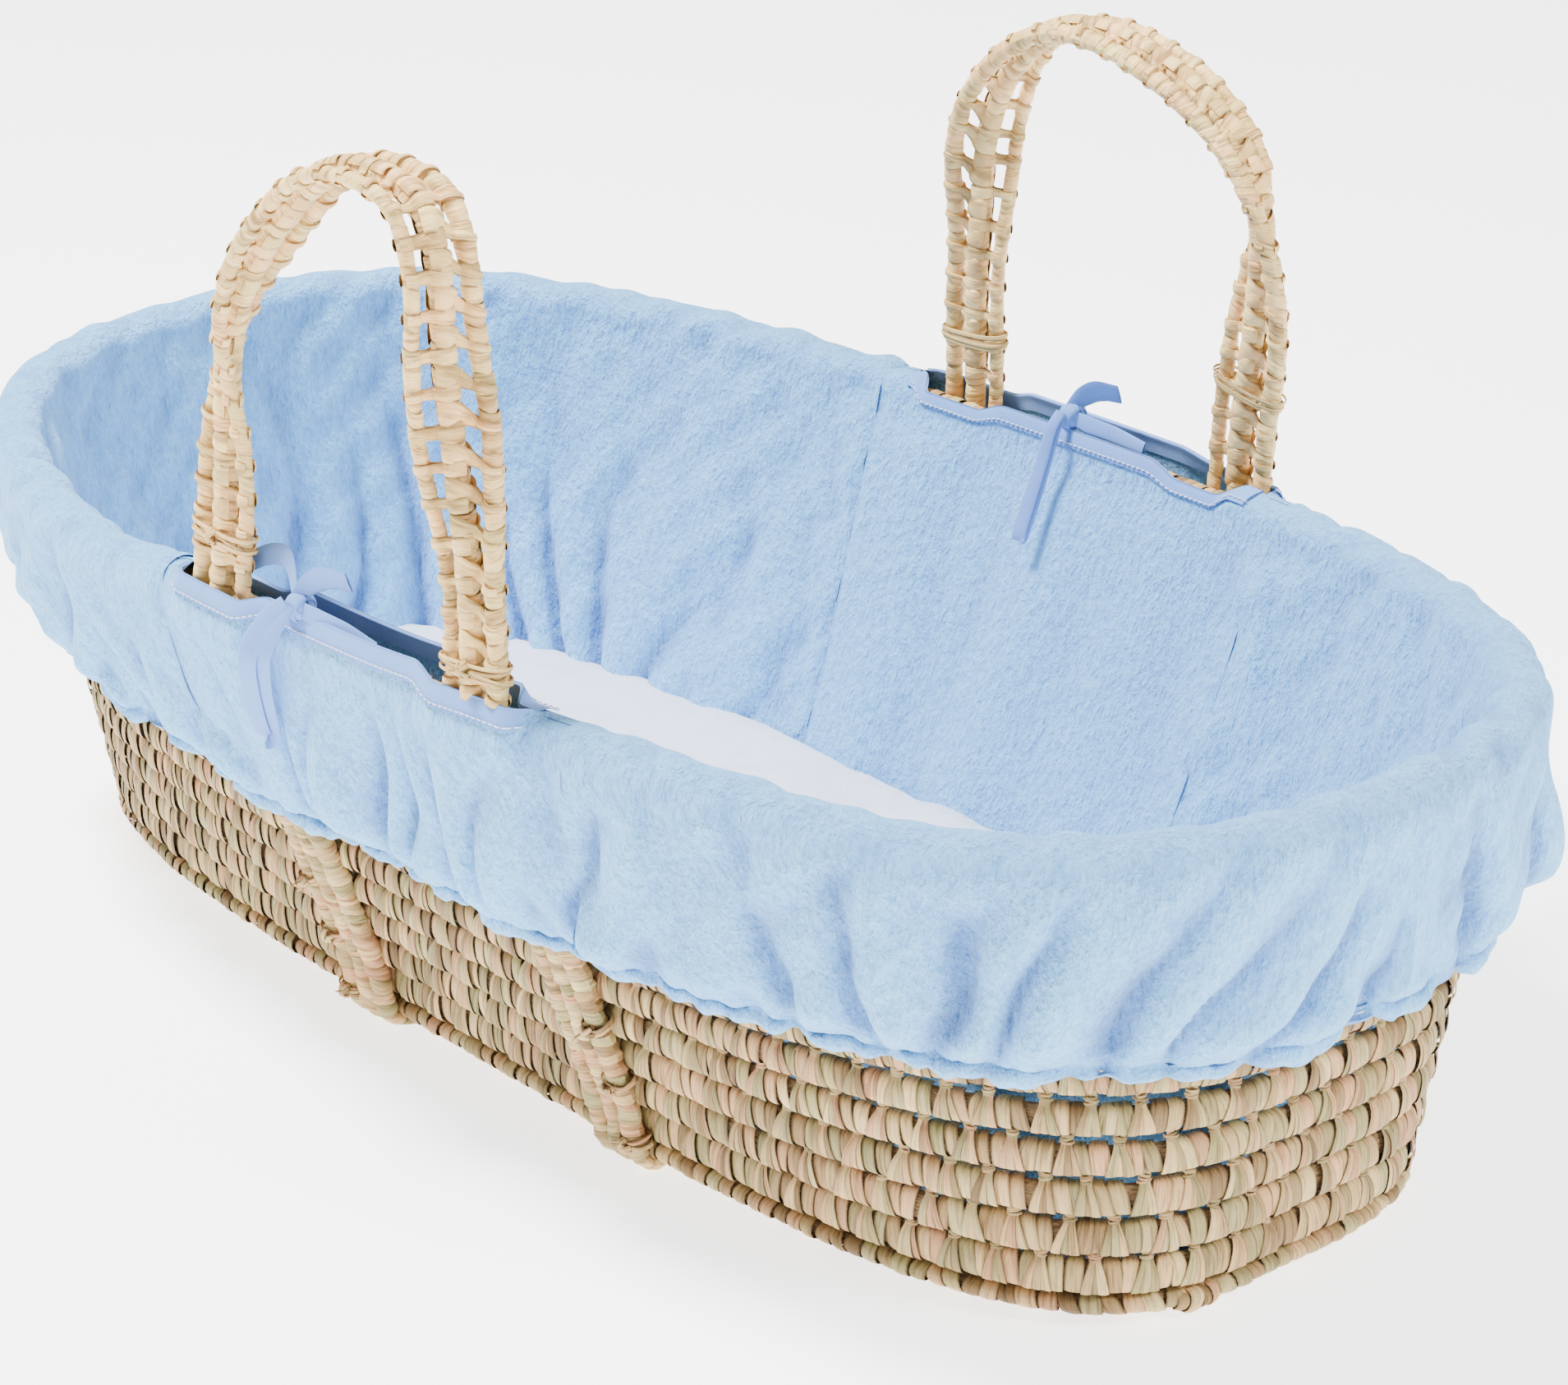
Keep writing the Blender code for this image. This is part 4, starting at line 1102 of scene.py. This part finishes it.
def end_stand(turn, s, inner_length, length):
    a = rim_run(turn)
    hem = length - HEM_DEPTH
    inside = inner_share(s, inner_length)
    outside = smooth((s - inner_length - 0.03) / 0.02)
    roll = 0.0007 * waves(a, s, seeded(31), 10, 0.035, 0.05)
    skirt = outside * skirt_folds(turn, s, inner_length + 0.03, hem)
    stand = inside * inner_folds(a, s) + roll + skirt
    return stand + seam_dip(turn, inside), hem_scallop(a, s, hem)


def end_cloth():
    inner = Cloth(INNER_PROFILE, None)
    profile = INNER_PROFILE + ROLL_PROFILE + SKIRT_PROFILE
    length = Cloth(profile, None).length
    return Cloth(profile, lambda turn, s: end_stand(turn, s, inner.length, length))


def inner_side_cloth():
    inner_length = Cloth(INNER_PROFILE, None).length

    def stand(turn, s):
        a = rim_run(turn)
        x = rim_x(turn)
        upper = smooth((s - inner_length + 0.004) / 0.02)
        closed = closing(x, INNER_SLIT_X)
        edge = scoop(x) * upper * (1 - closed)
        inside = inner_share(s, inner_length)
        stand = inside * inner_folds(a, s) + seam_dip(turn, inside)
        return stand, near_lift(turn) * upper * (1 - closed) - 0.0065 * edge

    return Cloth(INNER_PROFILE + LIP_PROFILE, stand, INNER_PROFILE + CLOSED_LIP, INNER_SLIT_X)


def closing(x, slit):
    """0 along the open slit, easing to 1 past the legs, where both edges meet over the rim."""
    past = np.maximum(slit[0] - x, x - slit[1])
    return smooth(past / 0.012)


def near_lift(turn):
    """How much higher the near slit's edges stand, most beside the foot leg."""
    x, y, _ = np.moveaxis(wall(turn, 1.0), -1, 0)
    return (0.004 + 0.004 * np.exp(-((x - 0.125) / 0.05) ** 2)) * (y < 0)


def scoop(x):
    """1 right under a handle leg, easing to 0 between and beyond the legs."""
    away = np.minimum.reduce([np.abs(x - leg) for leg in LEG_X])
    return 1 - smooth((away - 0.020) / 0.022)


def outer_side_cloth():
    length = Cloth(SKIRT_TOP + SKIRT_PROFILE, None).length

    def stand(turn, s):
        a = rim_run(turn)
        hem = length - HEM_DEPTH
        upper = 1 - smooth(s / 0.035)
        x = rim_x(turn)
        closed = closing(x, OUTER_SLIT_X)
        edge = scoop(x) * upper * (1 - closed)
        folds = smooth((s - 0.004) / 0.02) * skirt_folds(turn, s, 0.004, hem)
        stand = folds + seam_dip(turn, 0.0) + 0.0046 * edge + over_straps(turn, s, 0.002)
        drop = hem_scallop(a, s, hem) - 0.0070 * edge + near_lift(turn) * upper * (1 - closed)
        return stand, drop

    return Cloth(SKIRT_TOP + SKIRT_PROFILE, stand, CLOSED_TOP + SKIRT_PROFILE, OUTER_SLIT_X)


def stitches(name, cloth, start, end, s):
    """A row of short thread stitches lying on a tape."""
    count = int(abs(end - start) * RIM_LENGTH / STITCH_PITCH)
    centre = np.linspace(start, end, count + 1)[:-1, None]
    half = 0.36 * STITCH_PITCH / RIM_LENGTH
    t = np.linspace(-1, 1, 7)[None]
    points, normal = cloth.at(centre + half * t, s, STITCH_LIFT)
    points = points + normal * (0.00045 * (1 - t ** 2))[..., None]
    line = unit(np.gradient(points, axis=1))
    size = np.full(points.shape[:2], 0.00034)
    return tube(name, points, np.cross(line, normal), normal, size, size, np.full((count, 3), 0.8), 6)


def fleece_sheet(obj, node):
    finish_piece(obj, FLEECE, "blue_fleece", node)


def build_end_panels():
    cloth = end_cloth()
    far_head = turn_at(SEAM_X[0], 1.0)
    far_foot = turn_at(SEAM_X[1], 1.0)
    spans = {"head": (far_head, 1.0 - far_head), "foot": (-far_foot, far_foot)}
    for end, (start, stop) in spans.items():
        panel = cloth.mesh(f"fleece_{end}", start, stop)
        fleece_sheet(panel, f"liner_{end}_panel")


def build_side_panels(side_name):
    side = SIDES[side_name]
    head, foot = turn_at(SEAM_X[0], side), turn_at(SEAM_X[1], side)
    inner, outer = inner_side_cloth(), outer_side_cloth()
    start, end = foot - OVERLAP * side, head + OVERLAP * side
    panel = inner.mesh(f"fleece_{side_name}_inner", start, end, lift=-0.0003)
    skirt = outer.mesh(f"fleece_{side_name}_skirt", start, end, lift=-0.0003)
    edge = (turn_at(OUTER_SLIT_X[1] + 0.006, side), turn_at(OUTER_SLIT_X[0] - 0.006, side))
    for label, cloth, low, high in (
        ("inner", inner, inner.length - 0.0085, inner.length), ("outer", outer, 0.0, 0.0095),
    ):
        band = bound_edge(f"tape_{side_name}_{label}", cloth, *edge, low, high, label == "outer")
        finish_piece(band, BINDING, "cotton_binding", f"{side_name}_{label}_binding")
        s = high - 0.0018 if label == "outer" else low + 0.0018
        thread = stitches(f"thread_{side_name}_{label}", cloth, *edge, s)
        finish_piece(thread, THREAD, "cotton_binding")
    fleece_sheet(panel, f"liner_{side_name}_panel")
    fleece_sheet(skirt, f"skirt_{side_name}_panel")


def bound_edge(name, cloth, start, end, low, high, starts_at_edge):
    """A tape folded over a cloth's edge: down both faces, rounded over the edge itself."""
    turns = np.linspace(start, end, int(abs(end - start) * RIM_LENGTH / 0.002))[:, None]
    t = np.linspace(0, 1, 9)
    face = low + (high - low) * t
    edge = low if starts_at_edge else high
    order = face[::-1] if starts_at_edge else face
    lifts = 0.0010 - 0.0004 * np.clip(4 * t - 3, 0, 1)
    columns = [cloth.at(turns, order[None], np.broadcast_to(lifts, (1, 9)))[0]]
    bend = np.radians(np.array([60, 20, -20, -60]))
    away = -1.0 if starts_at_edge else 1.0
    for angle in bend:
        place = np.array([[edge + away * 0.0012 * math.cos(angle)]])
        columns.append(cloth.at(turns, place, np.array([[0.0010 * math.sin(angle)]]))[0])
    columns.append(cloth.at(turns, order[None, ::-1], np.full((1, 9), -0.0009))[0])
    points = np.concatenate(columns, axis=1)
    return grid_mesh(name, points[None], PLAIN_TONE, (0.02, 1.0))


def ribbon(name, points, widths, across, thickness=0.0011):
    """A folded tape along a smooth curve. across leans its flat side."""
    centre = spline(points, 10)
    t = np.linspace(0, 1, len(centre))
    half = np.interp(t, np.linspace(0, 1, len(widths)), widths) / 2
    line = unit(np.gradient(centre, axis=0))
    across = unit(np.array(across) - line * (line @ np.array(across))[:, None])
    size = np.full(len(t), thickness / 2)
    through = np.cross(line, across)
    return tube(name, centre[None], across[None], through[None], half[None], size[None], PLAIN_TONE, 12)


# The bow's tapes, as (along the slit, out from the rim, up from it) beside the knot.
BOW_HANG = (
    (0.000, 0.008, 0.004), (-0.006, 0.0135, -0.004), (-0.014, 0.0190, -0.022), (-0.020, 0.0205, -0.042),
    (-0.0230, 0.0205, -0.0585), (-0.0215, 0.0190, -0.0630), (-0.0190, 0.0180, -0.0585),
    (-0.0140, 0.0175, -0.040), (-0.0075, 0.0160, -0.020), (-0.001, 0.0110, -0.004), (0.001, 0.007, 0.003),
)
BOW_EAR = ((0.000, 0.002, 0.004), (0.006, -0.002, 0.0115), (0.015, -0.004, 0.0165), (0.027, -0.007, 0.0170))
BOW_BAND = (
    (0.002, 0.003, 0.001), (0.013, 0.001, -0.0015), (0.030, -0.002, -0.0035), (0.050, -0.003, -0.0055),
)
BOW_TIE = (
    (-0.003, 0.000, 0.003), (-0.020, -0.009, 0.0125), (-0.038, -0.012, 0.0095), (-0.056, -0.007, -0.001),
)
BOW_SIZE = {"near": 1.0, "far": 0.92}
LOOP_WIDTHS = {
    "near": (0.006, 0.0095, 0.0105, 0.0105, 0.0105, 0.0095, 0.006), "far": (0.005, 0.007, 0.007, 0.005),
}
KNOT_PLACE = {"near": (0.0125, 0.0255), "far": (-0.0035, 0.0235)}
LOOP_LEAN = {"near": 1.0, "far": 0.12}
KNOT_RADII = np.array([0.0062, 0.0058, 0.0058])


def build_bow(side_name):
    """A knot on the slit, a long loop hanging from it, a short end standing up and a tape to each leg.
    It hangs outward on the near wall and inward on the far wall, where it has no tape to the head leg."""
    turn = turn_at(BOW_X[side_name], SIDES[side_name])
    knot_out, knot_up = KNOT_PLACE[side_name]
    size = BOW_SIZE[side_name]

    def tape(label, line, widths, across):
        places = []
        for along, out, up in line:
            z = knot_up + up * size
            level = 1.0 + min(z, 0.0) / LEVEL_RISE
            away = out if side_name == "near" else -out
            x = along * size * (LOOP_LEAN[side_name] if label == "loop" else 1.0)
            places.append(wall(turn, level, knot_out + away, max(z, 0.0)) + np.array([x, 0.0, 0.0]))
        return ribbon(f"bow_{side_name}_{label}", places, widths, across)

    loop = tape("loop", BOW_HANG, LOOP_WIDTHS[side_name], (0.9, 0.35, -0.3))
    tail = tape("tail", BOW_EAR, [0.006, 0.0105, 0.0125, 0.0115], (-0.45, -0.45, 0.75))
    tapes = [tape("band", BOW_BAND, [0.006, 0.0085, 0.008, 0.006], (0.05, 0.35, 1.0))]
    if side_name == "near":
        tapes.insert(0, tape("tie", BOW_TIE, [0.006, 0.0095, 0.0095, 0.008], (0.1, 0.3, 1.0)))
    centre = wall(turn, 1.0, knot_out, knot_up)
    wraps = []
    angle = circle(13)
    for tilt, share in ((0.35, 1.0), (-0.5, 0.9), (1.15, 0.82)):
        level, upright = np.cos(angle) * math.sin(tilt), np.cos(angle) * math.cos(tilt)
        line = centre + np.stack([level, np.sin(angle), upright], -1) * KNOT_RADII * share
        across = (math.cos(tilt), 0.0, -math.sin(tilt))
        wraps.append(ribbon("bow_wrap", line, [0.007, 0.009, 0.007], across, 0.0026))
    middle = joined(f"bow_{side_name}_knot", [*wraps, *tapes])
    for piece, node in ((middle, "knot"), (loop, "loop"), (tail, "tail")):
        finish_piece(piece, BINDING, "cotton_binding", f"{side_name}_bow_{node}")


def build_hem_elastic():
    """A flat band round the wall, inside the gathered hem."""
    low, high = HEM_LEVEL + 0.008, HEM_LEVEL + 0.022
    level = np.array([[low, high, high, low, low]])
    out = np.array([[0.0128, 0.0128, 0.0133, 0.0133, 0.0128]])
    turns = np.linspace(0, 1, 721)[:, None]
    ripple = 0.0004 * np.sin(turns * RIM_LENGTH / 0.004)
    piece = grid_mesh("elastic_band", wall(turns, level, out + ripple)[None], PLAIN_TONE, (0.02, 2.0))
    finish_piece(piece, ELASTIC, "elastic", "hem_elastic")


def oval_sheet(half_length, half_width, squareness, heights, steps=240):
    """A grid over an oval. heights is (share of the oval, height, shift outward) from middle to edge."""
    plan, along = oval_table(half_length, half_width, squareness)
    turns = np.linspace(0, 1, steps + 1)
    edge = look_up(plan, turns)
    direction = look_up(along, turns)
    normal = np.stack([direction[:, 1], -direction[:, 0]], -1)
    rings = []
    for share, height, shift in heights:
        ring = edge * share + normal * shift
        rings.append(np.concatenate([ring, np.full((len(turns), 1), height)], -1))
    return np.stack(rings, axis=1)


MATTRESS = {"half_length": 0.3705, "half_width": 0.1375, "squareness": 3.3}


def build_mattress():
    low, high = (corner[2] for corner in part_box("mattress_cover"))
    crown = [(t, high + 0.0035 * (1 - t ** 4), 0.0) for t in np.linspace(0.0, 0.94, 60)]
    angle = np.linspace(math.radians(80), math.radians(-80), 17)
    middle = (low + high) / 2
    half = (high - low) / 2
    rim = [(1.0, middle + half * math.sin(a), 0.0055 * math.cos(a) ** 0.6 - 0.002 * (a < 0)) for a in angle]
    under = [
        (1.0, low, -0.012), (1.0, low, -0.026), (1.0, low + 0.0004, -0.038), (1.0, low + 0.001, -0.040),
    ]
    grid = oval_sheet(**MATTRESS, heights=crown + rim + under, steps=420)
    random = seeded(800)
    x, y = grid[..., 0], grid[..., 1]
    top = np.clip((grid[..., 2] - high + 0.006) / 0.006, 0, 1)
    soft = 0.0011 * waves(x, y, random, 9, 0.12, 0.10) + 0.0004 * waves(x, y, random, 9, 0.035, 0.05)
    grid[..., 2] += soft * top
    cover = grid_mesh("mattress_pad", grid[None], PLAIN_TONE, (1.0, 1.0))
    finish_piece(cover, JERSEY, "mattress_cotton", "mattress_cover", body="mattress")
    inner = [(t, high - 0.002, -0.002) for t in np.linspace(0, 0.96, 20)]
    inner += [(1.0, high - 0.006, -0.0025), (1.0, low + 0.005, -0.0035)]
    inner += [(t, low + 0.0018, -0.004) for t in np.linspace(0.98, 0.0, 20)]
    foam = grid_mesh("foam_block", oval_sheet(**MATTRESS, heights=inner)[None], PLAIN_TONE)
    finish_piece(foam, FOAM, "foam", "mattress_foam", body="mattress")


def build_liner_floor():
    low, high = (corner[2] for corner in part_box("liner_floor"))
    half_length, half_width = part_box("liner_floor")[1][:2]
    heights = [(t, (low + high) / 2, 0.0) for t in np.linspace(0, 1, 60)]
    grid = oval_sheet(half_length, half_width, BASE_SQUARENESS, heights, 300)
    random = seeded(810)
    grid[..., 2] += 0.0005 * waves(grid[..., 0], grid[..., 1], random, 9, 0.07, 0.09)
    piece = grid_mesh("fleece_floor", grid[None], PLAIN_TONE, (1.0, 1.0))
    finish_piece(piece, FLEECE, "blue_fleece", "liner_floor")


def build_liner():
    build_end_panels()
    for side_name in SIDES:
        build_side_panels(side_name)
        build_bow(side_name)
    build_hem_elastic()
    build_liner_floor()


# ---- floor, light and camera ---------------------------------------------------------------

CAMERA_AZIMUTH = math.radians(48.68)
CAMERA_ELEVATION = math.radians(23.54)
CAMERA_DISTANCE = 2.2368
CAMERA_TARGET = Vector((0.0297, 0.0258, 0.1466))
FOCAL_LENGTH = 109.37
CAMERA_SHIFT = (-0.0065, 0.0012)
LIGHT_TARGET = Vector((0, 0, 0.15))
WORLD_STRENGTH = 0.50
FLOOR_HALF_SIDE = 14.0


def build_floor():
    side = FLOOR_HALF_SIDE
    points = np.array([[[-side, -side, 0], [side, -side, 0]], [[-side, side, 0], [side, side, 0]]])
    floor = grid_mesh("studio_floor", points[None])
    floor.data.materials.append(pale_floor())


def area_light(name, location, size, power):
    data = bpy.data.lights.new(name, "AREA")
    data.shape = "DISK"
    data.size = size
    data.energy = power
    light = bpy.data.objects.new(name, data)
    light.location = location
    light.rotation_euler = (LIGHT_TARGET - Vector(location)).to_track_quat("-Z", "Y").to_euler()
    bpy.context.scene.collection.objects.link(light)


def build_studio():
    build_floor()
    world = bpy.data.worlds.new("soft_studio")
    bpy.context.scene.world = world
    world.use_nodes = True
    background = world.node_tree.nodes["Background"].inputs
    background["Color"].default_value = (1.0, 1.0, 1.0, 1.0)
    background["Strength"].default_value = WORLD_STRENGTH
    area_light("left_key", (-0.9, -0.6, 2.5), 0.6, 225)
    area_light("right_key", (2.4, 0.7, 1.8), 0.8, 85)


def place_camera():
    back = Vector((
        math.sin(CAMERA_AZIMUTH) * math.cos(CAMERA_ELEVATION),
        -math.cos(CAMERA_AZIMUTH) * math.cos(CAMERA_ELEVATION),
        math.sin(CAMERA_ELEVATION),
    ))
    data = bpy.data.cameras.new("view_camera")
    data.lens = FOCAL_LENGTH
    data.shift_x, data.shift_y = CAMERA_SHIFT
    camera = bpy.data.objects.new("view_camera", data)
    camera.location = CAMERA_TARGET + back * CAMERA_DISTANCE
    camera.rotation_euler = back.to_track_quat("Z", "Y").to_euler()
    bpy.context.scene.collection.objects.link(camera)
    bpy.context.scene.camera = camera


build_basket_body()
build_straps()
for side_name in SIDES:
    build_handle(side_name)
build_liner()
build_mattress()
build_studio()
place_camera()
